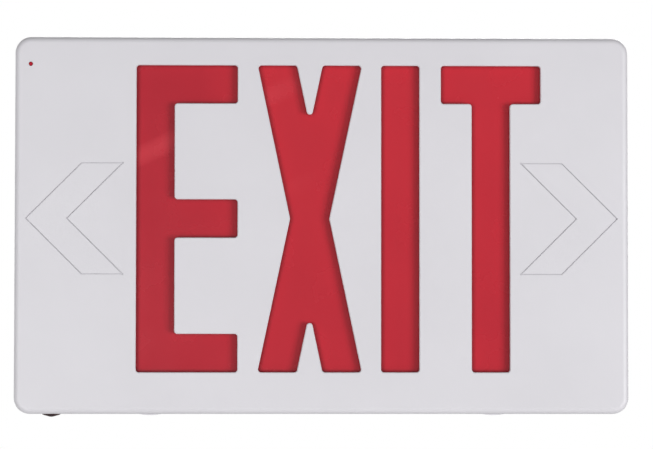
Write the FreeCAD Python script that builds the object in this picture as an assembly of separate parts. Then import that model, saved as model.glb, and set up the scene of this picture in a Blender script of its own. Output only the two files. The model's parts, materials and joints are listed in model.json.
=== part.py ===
import FreeCAD, Part
import math
import os
from FreeCAD import Vector

# LED emergency exit sign, surface mounted, with battery backup. Millimetres.
# +X right, +Z up, the legend faces -Y. The origin is the middle of the back,
# on the wall plane y = 0, so every depth is a negative y.

# ------------------------------------------------------------ overall size
face_width = 304.8
face_height = 187.0
sign_depth = 45.0
corner_radius = 8.0

# ------------------------------------------------------------ front cover
cover_wall = 2.5
skirt_depth = 12.0
front_edge_radius = 3.0
opening_edge_bevel = 0.35
gusset_count = 4
gusset_pitch = 40.0
gusset_thickness = 1.5
gusset_toe = 1.0

# Legend: six inch letters with three quarter inch strokes.
letter_height = 152.4
stroke = 19.05
legend_z = 3.3
letter_corner_radius = 1.5
e_left = -92.2
e_width = 50.3
x_left = -32.0
x_width = 51.7
i_left = 29.3
t_left = 59.0
t_width = 49.7

# Direction arrows: knock-outs held by a thin web under a score line.
arrow_edge_gap = 5.7
arrow_half_height = 27.5
arrow_reach = 27.6
arrow_band = 20.3
score_width = 0.5
score_depth = 0.5
thinning_width = 1.6
thinning_depth = 1.2
score_dot_radius = 0.5

# ------------------------------------------------------------ red sheet
sheet_standoff = 1.5
sheet_thickness = 1.5
sheet_side_gap = 0.5
sheet_height = 172.0
sheet_corner_radius = 4.0
sheet_notch_width = 12.0
sheet_notch_height = 16.0
stake_radius = 1.4
stake_hole_gap = 0.3
stake_shoulder_radius = 2.5
stake_head_radius = 2.6
stake_head_height = 0.8
stake_row_height = 46.6

# ------------------------------------------------------------ housing frame
reveal = 0.5
housing_wall = 2.5
lip_clearance = 0.3
lip_thickness = 1.8
lip_engagement = 5.0
lip_root = 4.0
ledge_width = 3.0
ledge_thickness = 2.5
knockout_radius = 11.1
knockout_score_depth = 0.8

# Snap catches between the cover's skirt and the frame's lip.
top_catch_x = 95.0
top_catch_width = 5.8
top_catch_proud = 0.3
bottom_catch_x = 85.0
bottom_catch_width = 7.4
bottom_catch_reach = 1.5
catch_depth = 2.4
catch_nose = 0.3
catch_flat = 1.0
catch_clearance = 0.3
catch_setback = 1.0
bulge_width = 12.0
bulge_height = 0.6
bulge_front_gap = 3.5

# ------------------------------------------------------------ back plate
plate_thickness = 3.0
plate_clearance = 0.3
cable_hole_radius = 11.1
box_slot_spacing = 86.1
box_slot_length = 10.0
box_slot_radius = 2.25
keyhole_spacing = 203.2
keyhole_z = 50.0
keyhole_entry_radius = 4.5
keyhole_slot_radius = 2.3
keyhole_travel = 9.0
rib_thickness = 1.5
rib_height = 3.0
rib_x = 62.0
rib_ledge_gap = 4.0
rib_battery_gap = 12.0
rib_edge_gap = 9.4
rib_outer_gap = 23.4
rib_row_gap = 22.5
rib_high_left = 4.0
rib_low_left = 13.25
screw_boss_radius = 3.6
screw_boss_depth = 6.5
screw_boss_floor = 1.0
screw_boss_inset = 4.4

# ------------------------------------------------------------ screws
screw_radius = 1.5
pilot_gap = 0.02
screw_clearance = 0.3
screw_head_radius = 2.9
screw_head_height = 1.7
screw_head_sink = 0.1
screw_length = 6.5
small_screw_length = 5.0

# ------------------------------------------------------------ battery
cell_radius = 7.25
cell_length = 50.5
cell_count = 3
cell_rim = 1.6
cell_recess = 0.5
cell_terminal_radius = 2.6
cell_terminal_drop = 0.1
film_flat_drop = 0.4
battery_edge_gap = 2.25
battery_low_gap = 10.5
battery_gap = 0.3
strap_width = 12.0
strap_thickness = 1.2
strap_bend_radius = 2.0
strap_foot_height = 3.0
strap_screw_offset = 5.5
strap_boss_radius = 3.2
strap_toe = 3.0
strap_foot_length = 4.0
hook_gap = 0.2
hook_wall = 1.4
hook_thickness = 1.2
hook_side_room = 2.0
cradle_wall = 1.6
cradle_height = 6.0
cradle_rail_width = 2.0
cradle_rail_inset = 6.0
cradle_tab_length = 8.0
cradle_tab_inset = 8.0
cradle_low_stop = 24.0
cradle_high_stop = 12.0

# ------------------------------------------------------------ charger board
charger_side_gap = 2.4
charger_top_gap = 8.3
charger_low_gap = 14.5
charger_width = 37.0
charger_standoff = 6.0
charger_corner_radius = 1.5
charger_boss_radius = 3.0
charger_screw_left = 5.0
charger_screw_right = 4.0
charger_screw_high_left = 13.0
charger_screw_high_right = 4.0
charger_screw_low_left = 16.0
charger_screw_low_right = 6.0
board_thickness = 1.6
isolation_slot_width = 2.0
isolation_slot_length = 20.0
isolation_slot_corner = 0.9

# Places on the charger board, each from the edges that its name gives.
transformer_from_left = 18.5
transformer_from_top = 50.2
tall_can_from_left = 9.5
tall_can_from_bottom = 60.0
short_can_from_left = 22.5
short_can_from_bottom = 63.0
diodes_from_left = 18.5
diodes_from_bottom = 85.0
resistors_from_left = 24.0
resistors_from_bottom = 36.0
controller_from_left = 10.5
controller_from_bottom = 42.0
driver_from_left = 8.5
driver_from_bottom = 28.5
fuse_from_left = 9.5
fuse_from_top = 20.2
isolation_from_left = 7.0
isolation_from_top = 30.2
terminal_from_right = 9.0
terminal_from_top = 26.2
socket_from_right = 4.5
battery_socket_from_bottom = 46.0
lamp_socket_from_bottom = 82.0

# Transformer: stacked E and I plates, a two-flange bobbin and its winding.
core_length = 30.0
core_rise = 25.0
core_stack = 12.5
core_leg = 10.0
core_limb = 5.0
core_stand = 1.2
core_seam = 0.3
core_seam_depth = 0.25
bobbin_gap = 0.05
bobbin_end_gap = 0.1
bobbin_wall = 0.8
bobbin_flange_gap = 0.15
winding_build = 3.1

# Small parts of the charger circuit.
tall_can_radius = 6.3
tall_can_height = 20.0
short_can_radius = 5.0
short_can_height = 12.5
can_crimp_ratio = 0.92
can_crimp_low = 1.6
can_crimp_high = 2.4
diode_count = 4
diode_pitch = 4.2
diode_radius = 1.35
diode_length = 5.2
resistor_count = 3
resistor_pitch = 4.0
resistor_radius = 1.2
resistor_length = 6.4
axial_span = 10.2
axial_lead = 0.6
axial_root = 0.5
axial_lift = 0.25
chip_length = 9.6
chip_width = 6.4
chip_low = 0.6
chip_high = 3.9
chip_bevel = 0.35
chip_notch_radius = 0.8
chip_leg_pitch = 2.54
chip_leg_rows = 4
chip_leg_reach = 4.05
chip_leg_thickness = 0.3
chip_shoulder_width = 1.2
chip_leg_width = 0.6
chip_leg_root = 0.3
chip_notch_depth = 1.0
driver_half_width = 5.0
driver_stand = 3.0
driver_body_height = 9.0
driver_tab_height = 15.5
driver_body_depth = 3.2
driver_tab_depth = 1.3
driver_hole_radius = 1.8
driver_hole_height = 12.6
driver_leg_width = 0.8
driver_leg_depth = 0.6
driver_leg_back = 0.2
fuse_radius = 4.25
fuse_height = 7.7
fuse_edge = 0.5

# Supply terminal: screw poles that take the building's wires from the side.
terminal_pitch = 5.0
terminal_poles = 3
terminal_depth = 8.0
terminal_rise = 10.0
terminal_front_slope = 3.5
terminal_front_set = 2.0
terminal_back_slope = 2.0
terminal_back_set = 1.0
terminal_wire_opening = 3.0
terminal_wire_sill = 1.6
terminal_wire_depth = 3.5
terminal_well_set = 0.4
terminal_well_radius = 1.95
terminal_well_depth = 3.0
terminal_screw_radius = 1.75
terminal_screw_height = 1.8
terminal_slot_width = 0.6
terminal_slot_depth = 0.6

# Plug and socket pairs: an open header on the board and the wired plug in it.
plug_ways = 2
plug_pitch = 2.5
plug_rise = 9.0
plug_gap = 0.1
plug_bevel = 0.4
plug_wire_depth = 4.0
plug_ridge_width = 1.4
plug_ridge_reach = 0.5
plug_ridge_low = 3.5
plug_ridge_drop = 0.5
socket_width = 5.8
socket_rise = 7.0
socket_wall = 0.7
socket_floor = 1.5
socket_end_room = 2.4
socket_key_width = 2.0
socket_key_sill = 2.5

# ------------------------------------------------------------ light engine
strip_length = 200.0
strip_width = 10.0
strip_lip_gap = 0.4
strip_reflector_gap = 0.6
strip_corner_radius = 1.0
strip_hole_radius = 1.2
strip_hole_inset = 3.0
strip_clip_pitch = 80.0
strip_clip_count = 3
strip_clip_width = 8.0
strip_clip_wall = 1.2
strip_clip_grip = 0.8
strip_clip_gap = 0.15
strip_clip_tip = 1.2
lamp_count = 10
lamp_size = 5.0
lamp_height = 1.6
lamp_corner_cut = 0.7
reflector_thickness = 0.8
reflector_strap_gap = 0.7
reflector_charger_gap = 6.0
reflector_right_gap = 3.4
reflector_clip_gap = 1.55
reflector_flange = 6.0
reflector_fold_ratio = 0.95
post_radius = 3.0
post_pin_length = 3.0
post_left_inset = 16.0
post_right_inset = 28.0
post_battery_gap = 28.25
post_high_z = 40.0
post_low_z = -60.0
push_nut_radius = 4.0
push_nut_thickness = 0.5

# ------------------------------------------------------------ test button
button_edge_gap = 16.4
button_standoff = 7.9
button_dome_radius = 5.3
button_proud = 2.9
button_radius = 4.8
button_hole_gap = 0.35
button_flange_radius = 6.6
button_flange_height = 1.2
button_stem_radius = 2.2
button_stem_length = 5.3
button_travel = 2.0
plunger_radius = 1.5
plunger_gap = 0.35
plunger_grip = 2.5
plunger_reach = 3.5
plunger_end_room = 1.0
plunger_bevel = 0.3
well_wall = 1.4
well_gap = 0.4
well_height = 6.0
switch_gap = 1.0
switch_width = 12.0
switch_height = 14.0
switch_over_axis = 5.0
switch_bevel = 0.8
spring_radius = 4.2
spring_wire = 0.5
spring_turns = 4

# ------------------------------------------------------------ charge lamp
lamp_pipe_edge_gap = 7.9
lamp_pipe_top_gap = 13.6
lamp_pipe_radius = 1.0
lamp_pipe_gap = 0.1
lamp_pipe_proud = 0.25
lamp_pipe_boss_wall = 1.5
lamp_pipe_boss_length = 4.0
lamp_pipe_cup_wall = 1.0
lamp_pipe_cup_depth = 3.0
lamp_pipe_cup_floor = 1.0
indicator_radius = 1.5
indicator_height = 5.3
indicator_flange_radius = 1.9
indicator_flange_height = 1.0

# ------------------------------------------------------------ wires
wire_radius = 0.8
wire_hole_gap = 0.1
lamp_lead_radius = 1.0
wire_bend_share = 0.45

# How far a cutter runs past the face it opens, and how far an added piece
# reaches into the wall that carries it.
past = 1.0
bite = 0.1

# ------------------------------------------------------------ worked out
front_y = -sign_depth
face_back_y = front_y + cover_wall
seat_y = face_back_y + sheet_standoff
sheet_back_y = seat_y + sheet_thickness
skirt_back_y = front_y + skirt_depth
lip_front_y = skirt_back_y - lip_engagement
lip_back_y = skirt_back_y + lip_root
plate_front_y = -plate_thickness
skirt_inner_x = face_width / 2 - cover_wall
skirt_inner_z = face_height / 2 - cover_wall
skirt_inner_radius = corner_radius - cover_wall
lip_outer_x = skirt_inner_x - lip_clearance
lip_outer_z = skirt_inner_z - lip_clearance
lip_outer_radius = skirt_inner_radius - lip_clearance
housing_x = face_width / 2 - reveal
housing_z = face_height / 2 - reveal
housing_radius = corner_radius - reveal
inner_x = housing_x - housing_wall
inner_z = housing_z - housing_wall
inner_radius = housing_radius - housing_wall
catch_back_y = skirt_back_y - catch_setback
catch_front_y = catch_back_y - catch_depth

arrow_tip_x = face_width / 2 - arrow_edge_gap
sheet_x = skirt_inner_x - sheet_side_gap
sheet_top = legend_z + sheet_height / 2
sheet_bottom = legend_z - sheet_height / 2
letter_top = legend_z + letter_height / 2
letter_bottom = legend_z - letter_height / 2

charger_left = -inner_x + charger_side_gap
charger_right = charger_left + charger_width
charger_top = inner_z - charger_top_gap
charger_bottom = -inner_z + charger_low_gap
charger_back_y = plate_front_y - charger_standoff
charger_front_y = charger_back_y - board_thickness
transformer_x = charger_left + transformer_from_left
transformer_z = charger_top - transformer_from_top
terminal_x = charger_right - terminal_from_right
terminal_low_z = charger_top - terminal_from_top
socket_x = charger_right - socket_from_right
battery_socket_z = charger_bottom + battery_socket_from_bottom
lamp_socket_z = charger_bottom + lamp_socket_from_bottom
plug_back_y = charger_front_y - socket_floor
plug_front_y = plug_back_y - plug_rise

reflector_left = charger_right + reflector_charger_gap
reflector_right = inner_x - reflector_right_gap
battery_half = cell_radius * cell_count
battery_x = reflector_left + battery_edge_gap + battery_half
battery_left = battery_x - battery_half
battery_right = battery_x + battery_half
battery_bottom = -inner_z + battery_low_gap
battery_top = battery_bottom + cell_length
cell_y = plate_front_y - cradle_wall / 2 - cell_radius
strap_front_y = cell_y - cell_radius - strap_thickness
strap_foot_y = plate_front_y - strap_foot_height
strap_screw_x = battery_right + strap_screw_offset
strap_screw_z = (battery_bottom + battery_top) / 2
reflector_back_y = strap_front_y - reflector_strap_gap
reflector_front_y = reflector_back_y - reflector_thickness

strip_back_y = reflector_front_y - strip_reflector_gap
strip_front_y = strip_back_y - strip_width
strip_middle_y = (strip_front_y + strip_back_y) / 2
strip_z = lip_outer_z - lip_thickness - strip_lip_gap
strip_inner_z = strip_z - board_thickness
clip_tip_z = strip_inner_z - strip_clip_gap - strip_clip_tip
reflector_half = clip_tip_z - reflector_clip_gap

button_x = -face_width / 2 + button_edge_gap
button_y = charger_front_y - button_standoff
button_wall_z = -inner_z
button_tip_z = -housing_z - button_proud
stem_low_z = button_wall_z + button_flange_height
stem_top_z = stem_low_z + button_stem_length
switch_bottom = stem_top_z + button_travel + switch_gap
lamp_pipe_x = -face_width / 2 + lamp_pipe_edge_gap
lamp_pipe_z = face_height / 2 - lamp_pipe_top_gap
lamp_pipe_bore = lamp_pipe_radius + lamp_pipe_gap


# ------------------------------------------------------------ shape helpers
def block(x0, x1, y0, y1, z0, z1):
    corner = Vector(min(x0, x1), min(y0, y1), min(z0, z1))
    return Part.makeBox(abs(x1 - x0), abs(y1 - y0), abs(z1 - z0), corner)


def rod(start, end, radius):
    axis = end - start
    return Part.makeCylinder(radius, axis.Length, start, axis)


def rod_y(x, z, y0, y1, radius):
    return rod(Vector(x, y0, z), Vector(x, y1, z), radius)


def rounded_wire(corners, radius, y):
    """Closed wire at depth y through (x, z) corners, each rounded to one radius."""
    corner_points = [Vector(x, y, z) for x, z in corners]
    if radius <= 0:
        return Part.makePolygon(corner_points + corner_points[:1])
    bends = []
    for i, corner in enumerate(corner_points):
        to_last = (corner_points[i - 1] - corner).normalize()
        to_next = (corner_points[(i + 1) % len(corner_points)] - corner).normalize()
        half_angle = to_last.getAngle(to_next) / 2
        middle = (to_last + to_next).normalize()
        reach = radius / math.tan(half_angle)
        crown = corner + middle * (radius / math.sin(half_angle) - radius)
        bends.append((corner + to_last * reach, crown, corner + to_next * reach))
    edges = []
    for i, (start, crown, end) in enumerate(bends):
        edges.append(Part.Arc(start, crown, end).toShape())
        edges.append(Part.LineSegment(end, bends[(i + 1) % len(bends)][0]).toShape())
    return Part.Wire(edges)


def prism(corners, radius, y0, y1):
    return Part.Face(rounded_wire(corners, radius, y0)).extrude(Vector(0, y1 - y0, 0))


def rectangle(x0, x1, z0, z1):
    return [(x0, z0), (x1, z0), (x1, z1), (x0, z1)]


def panel(half_x, half_z, radius, y0, y1):
    return prism(rectangle(-half_x, half_x, -half_z, half_z), radius, y0, y1)


def run_outline(points, travel):
    """Solid from a closed outline of points, run along one vector."""
    return Part.Face(Part.makePolygon(points + points[:1])).extrude(travel)


def profile_prism(corners, x0, x1):
    """Solid with a (y, z) outline, run from x0 to x1."""
    return run_outline([Vector(x0, y, z) for y, z in corners], Vector(x1 - x0, 0, 0))


def plan_prism(corners, z0, z1):
    """Solid with an (x, y) outline, run from z0 to z1."""
    return run_outline([Vector(x, y, z0) for x, y in corners], Vector(0, 0, z1 - z0))


def turned(profile, base, axis):
    """Solid of revolution from (radius, height) points about an axis from a base point."""
    points = [Vector(radius, 0, height) for radius, height in profile]
    solid = Part.Face(Part.makePolygon(points + points[:1])).revolve(Vector(), Vector(0, 0, 1), 360)
    solid.Placement = FreeCAD.Placement(base, FreeCAD.Rotation(Vector(0, 0, 1), axis))
    return solid


def edges_at_depth(solid, y, tolerance=0.01):
    found = []
    for edge in solid.Edges:
        bounds = edge.BoundBox
        if abs(bounds.YMin - y) < tolerance and abs(bounds.YMax - y) < tolerance:
            found.append(edge)
    return found


def edges_at_height(solid, z, tolerance=0.01):
    found = []
    for edge in solid.Edges:
        bounds = edge.BoundBox
        if abs(bounds.ZMin - z) < tolerance and abs(bounds.ZMax - z) < tolerance:
            found.append(edge)
    return found


def long_edges_at_depth(solid, y, least_length):
    return [edge for edge in edges_at_depth(solid, y) if edge.Length > least_length]


def upright_edges(solid):
    return [edge for edge in solid.Edges if edge.BoundBox.ZLength > edge.Length * 0.999]


def join(solids):
    return solids[0].fuse(solids[1:]).removeSplitter()


def save(node, shapes):
    if not isinstance(shapes, list):
        shapes = [shapes]
    solids = []
    for shape in shapes:
        solids.extend(shape.Solids)
    result = solids[0] if len(solids) == 1 else Part.makeCompound(solids)
    result.exportStep("parts/" + node + ".step")
    state = "valid" if result.isValid() else "INVALID"
    print(node, len(solids), "solid(s)", round(result.Volume), "mm3", state)


# ------------------------------------------------------------ legend
def letter_e():
    left = e_left
    right = e_left + e_width
    return [
        (left, letter_bottom), (right, letter_bottom), (right, letter_bottom + stroke),
        (left + stroke, letter_bottom + stroke), (left + stroke, legend_z - stroke / 2),
        (right, legend_z - stroke / 2), (right, legend_z + stroke / 2),
        (left + stroke, legend_z + stroke / 2), (left + stroke, letter_top - stroke),
        (right, letter_top - stroke), (right, letter_top), (left, letter_top),
    ]


def x_strokes():
    """Lean of the X's two strokes, and half their width across the waist."""
    half_width = x_width / 2
    half_height = letter_height / 2
    half_stroke = stroke / 2
    square_term = half_height ** 2 - half_stroke ** 2
    linear_term = half_width * half_height
    constant_term = half_width ** 2 - half_stroke ** 2
    lean = (linear_term - math.sqrt(linear_term ** 2 - square_term * constant_term)) / square_term
    return lean, half_stroke * math.sqrt(1 + lean ** 2)


def letter_x():
    centre = x_left + x_width / 2
    half_width = x_width / 2
    half_height = letter_height / 2
    lean, waist = x_strokes()
    notch = half_width - 2 * waist
    notch_depth = notch / lean
    corners = [
        (half_width, half_height), (notch, half_height), (0, half_height - notch_depth),
        (-notch, half_height), (-half_width, half_height), (-waist, 0),
        (-half_width, -half_height), (-notch, -half_height), (0, notch_depth - half_height),
        (notch, -half_height), (half_width, -half_height), (waist, 0),
    ]
    return [(centre + x, legend_z + z) for x, z in corners]


def letter_i():
    return rectangle(i_left, i_left + stroke, letter_bottom, letter_top)


def t_stem_left():
    return t_left + (t_width - stroke) / 2


def letter_t():
    left = t_left
    right = t_left + t_width
    stem_left = t_stem_left()
    stem_right = stem_left + stroke
    return [
        (stem_left, letter_bottom), (stem_right, letter_bottom), (stem_right, letter_top - stroke),
        (right, letter_top - stroke), (right, letter_top), (left, letter_top),
        (left, letter_top - stroke), (stem_left, letter_top - stroke),
    ]


def legend_cutters():
    letters = [letter_e(), letter_x(), letter_i(), letter_t()]
    return [prism(corners, letter_corner_radius, front_y - past, face_back_y + past) for corners in letters]


# ------------------------------------------------------------ arrows
def arrow_corners(side):
    shoulder_x = arrow_tip_x - arrow_reach
    tail_x = shoulder_x - arrow_band
    notch_x = arrow_tip_x - arrow_band
    corners = [
        (arrow_tip_x, 0), (shoulder_x, arrow_half_height), (tail_x, arrow_half_height),
        (notch_x, 0), (tail_x, -arrow_half_height), (shoulder_x, -arrow_half_height),
    ]
    return [(side * x, legend_z + z) for x, z in corners]


def line_ring(corners, width, y0, y1):
    """A band of the given width that follows a closed outline."""
    face = Part.Face(rounded_wire(corners, 0, y0))
    outside = face.makeOffset2D(width / 2, join=2)
    inside = face.makeOffset2D(-width / 2, join=2)
    return outside.cut(inside).extrude(Vector(0, y1 - y0, 0))


def arrow_scores():
    cutters = []
    for side in (-1, 1):
        corners = arrow_corners(side)
        cutters.append(line_ring(corners, score_width, front_y, front_y + score_depth))
        cutters.append(line_ring(corners, thinning_width, face_back_y - thinning_depth, face_back_y))
        for x, z in (corners[2], corners[4]):
            cutters.append(rod_y(x, z, front_y, front_y + score_depth, score_dot_radius))
    return cutters


# ------------------------------------------------------------ red sheet and its stakes
def stake_places():
    """Three between the letters, and one above and one below each arrow's notch."""
    waist = x_strokes()[1]
    x_middle = x_left + x_width / 2
    gap_x = [
        (e_left + e_width + x_middle - waist) / 2, (x_middle + waist + i_left) / 2,
        (i_left + stroke + t_stem_left()) / 2,
    ]
    places = [(x, legend_z) for x in gap_x]
    notch_x = arrow_tip_x - arrow_band
    for x in (-notch_x, notch_x):
        places.append((x, legend_z - stake_row_height))
        places.append((x, legend_z + stake_row_height))
    return places


def heat_stake(x, z):
    shoulder = rod_y(x, z, face_back_y - bite, seat_y, stake_shoulder_radius)
    shank = rod_y(x, z, seat_y, sheet_back_y, stake_radius)
    head = rod_y(x, z, sheet_back_y, sheet_back_y + stake_head_height, stake_head_radius)
    return [shoulder, shank, head]


def red_diffuser():
    """Red sheet with its top left corner notched round the charge lamp."""
    corners = [
        (-sheet_x, sheet_bottom), (sheet_x, sheet_bottom), (sheet_x, sheet_top),
        (-sheet_x + sheet_notch_width, sheet_top),
        (-sheet_x + sheet_notch_width, sheet_top - sheet_notch_height),
        (-sheet_x, sheet_top - sheet_notch_height),
    ]
    sheet = prism(corners, sheet_corner_radius, seat_y, sheet_back_y)
    hole_radius = stake_radius + stake_hole_gap
    return sheet.cut([rod_y(x, z, seat_y - past, sheet_back_y + past, hole_radius) for x, z in stake_places()])


# ------------------------------------------------------------ front cover
def cover_shell():
    body = panel(face_width / 2, face_height / 2, corner_radius, front_y, skirt_back_y)
    body = body.makeFillet(front_edge_radius, edges_at_depth(body, front_y))
    room = panel(skirt_inner_x, skirt_inner_z, skirt_inner_radius, face_back_y, skirt_back_y + past)
    return body.cut(room)


def bevel_legend(shell):
    """Breaks the front edge of every letter opening, and leaves the cover's own edge alone."""
    rims = []
    for edge in edges_at_depth(shell, front_y):
        bounds = edge.BoundBox
        if max(abs(bounds.XMin), abs(bounds.XMax)) < arrow_tip_x and bounds.ZMax < letter_top + bite:
            rims.append(edge)
    return shell.makeChamfer(opening_edge_bevel, [edge for edge in rims if edge.BoundBox.ZMin > letter_bottom - bite])


def bottom_bulge(x):
    """Shallow outward swell of the skirt over a bottom catch."""
    radius = ((bulge_width / 2) ** 2 + bulge_height ** 2) / (2 * bulge_height)
    low_z = -face_height / 2
    front = front_y + bulge_front_gap
    drum = rod_y(x, low_z - bulge_height + radius, front, skirt_back_y, radius)
    band = block(x - bulge_width, x + bulge_width, front, skirt_back_y, low_z - bulge_height * 2,
                 low_z + cover_wall / 2)
    return drum.common(band)


def catch_window(x):
    half = top_catch_width / 2 + catch_clearance
    return block(x - half, x + half, catch_front_y - catch_clearance, catch_back_y + catch_clearance,
                 skirt_inner_z - past, face_height / 2 + past)


def catch_pocket(x):
    half = bottom_catch_width / 2 + catch_clearance
    depth = lip_outer_z + bottom_catch_reach + catch_clearance
    return block(x - half, x + half, catch_front_y - catch_clearance, catch_back_y + catch_clearance,
                 -skirt_inner_z + past, -depth)


def skirt_gussets():
    """Triangular webs that tie the bottom of the face to the skirt, below the sheet."""
    far_y = lip_front_y - catch_clearance
    foot_z = -skirt_inner_z - bite
    crest_z = sheet_bottom - sheet_side_gap
    outline = [
        (face_back_y - bite, foot_z), (far_y, foot_z), (far_y, -skirt_inner_z + gusset_toe),
        (face_back_y + gusset_toe, crest_z), (face_back_y - bite, crest_z),
    ]
    webs = []
    for i in range(gusset_count):
        x = gusset_pitch * (i - (gusset_count - 1) / 2)
        webs.append(profile_prism(outline, x - gusset_thickness / 2, x + gusset_thickness / 2))
    return webs


def front_cover():
    shell = bevel_legend(cover_shell().cut(legend_cutters()))
    boss_end = face_back_y + lamp_pipe_boss_length
    added = [bottom_bulge(-bottom_catch_x), bottom_bulge(bottom_catch_x)]
    added += skirt_gussets()
    for x, z in stake_places():
        added += heat_stake(x, z)
    added.append(rod_y(lamp_pipe_x, lamp_pipe_z, face_back_y - bite, boss_end, lamp_pipe_bore + lamp_pipe_boss_wall))
    shell = join([shell] + added)
    cutters = arrow_scores()
    cutters.append(rod_y(lamp_pipe_x, lamp_pipe_z, front_y - past, boss_end + past, lamp_pipe_bore))
    for side in (-1, 1):
        cutters.append(catch_window(side * top_catch_x))
        cutters.append(catch_pocket(side * bottom_catch_x))
    return shell.cut(cutters)


# ------------------------------------------------------------ housing frame
def frame_ring(half_x, half_z, radius, thickness, y0, y1):
    outer = panel(half_x, half_z, radius, y0, y1)
    return outer.cut(panel(half_x - thickness, half_z - thickness, radius - thickness, y0 - past, y1 + past))


def catch(x, width, side, tip_z):
    """Ramped tooth on the lip that springs into the skirt. side is +1 at the top."""
    root = side * (lip_outer_z - catch_nose)
    nose = side * (lip_outer_z + catch_nose)
    outline = [
        (catch_front_y, root), (catch_front_y, nose), (catch_back_y - catch_flat, tip_z), (catch_back_y, tip_z),
        (catch_back_y, root),
    ]
    return profile_prism(outline, x - width / 2, x + width / 2)


def housing_catches():
    teeth = []
    for side in (-1, 1):
        teeth.append(catch(side * top_catch_x, top_catch_width, 1, face_height / 2 + top_catch_proud))
        teeth.append(catch(side * bottom_catch_x, bottom_catch_width, -1, -lip_outer_z - bottom_catch_reach))
    return teeth


def screw_places():
    edge_x = inner_x - screw_boss_inset
    edge_z = inner_z - screw_boss_inset
    return [(x, z) for x in (-edge_x, 0, edge_x) for z in (-edge_z, edge_z)]


def strip_clip(x, side):
    """One moulded clip of a lamp strip: a pad and two hooked fingers. side is +1 at the top."""
    left = x - strip_clip_width / 2
    right = x + strip_clip_width / 2
    wall = side * (inner_z + bite)
    grip = side * (strip_inner_z - strip_clip_gap)
    tip = side * clip_tip_z
    pieces = [block(left, right, strip_front_y, strip_back_y, wall, side * strip_z)]
    for edge, away in ((strip_back_y, 1), (strip_front_y, -1)):
        near = edge + away * strip_clip_gap
        far = near + away * strip_clip_wall
        pieces.append(block(left, right, near, far, wall, tip))
        pieces.append(block(left, right, edge - away * strip_clip_grip, far, grip, tip))
    return pieces


def strip_clips():
    pieces = []
    for i in range(strip_clip_count):
        x = strip_clip_pitch * (i - (strip_clip_count - 1) / 2)
        pieces += strip_clip(x, 1) + strip_clip(x, -1)
    return pieces


def button_well():
    inner = button_flange_radius + well_gap
    base = axis_point(button_wall_z - bite)
    top = axis_point(button_wall_z + well_height)
    over = Vector(0, 0, past)
    return rod(base, top, inner + well_wall).cut(rod(base - over, top + over, inner))


def knockout_score(place, axis):
    """Ring groove that lets a conduit knock-out be punched from a wall."""
    start = place - axis * bite
    end = place + axis * knockout_score_depth
    return rod(start, end, knockout_radius + score_width).cut(rod(start, end, knockout_radius))


def housing():
    root_thickness = inner_x + bite - lip_outer_x + lip_thickness
    pieces = [
        frame_ring(housing_x, housing_z, housing_radius, housing_wall, skirt_back_y, 0),
        frame_ring(lip_outer_x, lip_outer_z, lip_outer_radius, lip_thickness, lip_front_y, lip_back_y),
        frame_ring(inner_x + bite, inner_z + bite, inner_radius + bite, root_thickness, skirt_back_y, lip_back_y),
        frame_ring(inner_x + bite, inner_z + bite, inner_radius + bite, ledge_width + bite,
                   plate_front_y - ledge_thickness, plate_front_y),
    ]
    for x, z in screw_places():
        pieces.append(rod_y(x, z, plate_front_y - screw_boss_depth, plate_front_y, screw_boss_radius))
    frame = join(pieces + housing_catches() + strip_clips() + [button_well()])
    cutters = []
    for x, z in screw_places():
        pilot_end = plate_front_y - screw_boss_depth + screw_boss_floor
        cutters.append(rod_y(x, z, pilot_end, plate_front_y + past, screw_radius + pilot_gap))
    button_hole = button_radius + button_hole_gap
    cutters.append(rod(axis_point(-housing_z - past), axis_point(button_wall_z + past), button_hole))
    middle_y = skirt_back_y / 2
    cutters.append(knockout_score(Vector(0, middle_y, housing_z), Vector(0, 0, -1)))
    for side in (-1, 1):
        cutters.append(knockout_score(Vector(side * housing_x, middle_y, 0), Vector(-side, 0, 0)))
    return frame.cut(cutters)


# ------------------------------------------------------------ screws
def pan_screw(x, z, seat_depth, toward, length):
    """Pan head screw along Y. The head stands on the side away from toward."""
    seat = Vector(x, seat_depth, z)
    head = rod(seat, seat - Vector(0, toward * screw_head_height, 0), screw_head_radius)
    return join([head, rod(seat, seat + Vector(0, toward * length, 0), screw_radius)])


def plate_counterbore_y():
    return -(screw_head_height + screw_head_sink)


def back_plate_screws():
    return [pan_screw(x, z, plate_counterbore_y(), -1, screw_length) for x, z in screw_places()]


def charger_board_screws():
    return [pan_screw(x, z, charger_front_y, 1, small_screw_length) for x, z in charger_screw_places()]


# ------------------------------------------------------------ back plate
def charger_screw_places():
    left = charger_left + charger_screw_left
    right = charger_right - charger_screw_right
    return [
        (left, charger_top - charger_screw_high_left), (right, charger_top - charger_screw_high_right),
        (left, charger_bottom + charger_screw_low_left), (right, charger_bottom + charger_screw_low_right),
    ]


def post_places():
    left = reflector_left + post_left_inset
    right = reflector_right - post_right_inset
    return [(left, post_high_z), (right, post_high_z), (battery_right + post_battery_gap, post_low_z),
            (right, post_low_z)]


def plate_ribs():
    """Stiffening ribs on the inner face, kept off the cable hole and the box slots."""
    front = plate_front_y - rib_height
    back = plate_front_y + bite
    half = rib_thickness / 2
    reach = inner_z - ledge_width - rib_ledge_gap
    row = inner_z - rib_row_gap
    right = inner_x - rib_edge_gap
    ribs = []
    for x, low in ((-rib_x, battery_top + rib_battery_gap), (rib_x, -reach), (inner_x - rib_outer_gap, -reach)):
        ribs.append(block(x - half, x + half, front, back, low, reach))
    for z, left in ((row, reflector_left + rib_high_left), (-row, battery_right + rib_low_left)):
        ribs.append(block(left, right, front, back, z - half, z + half))
    return ribs


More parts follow.
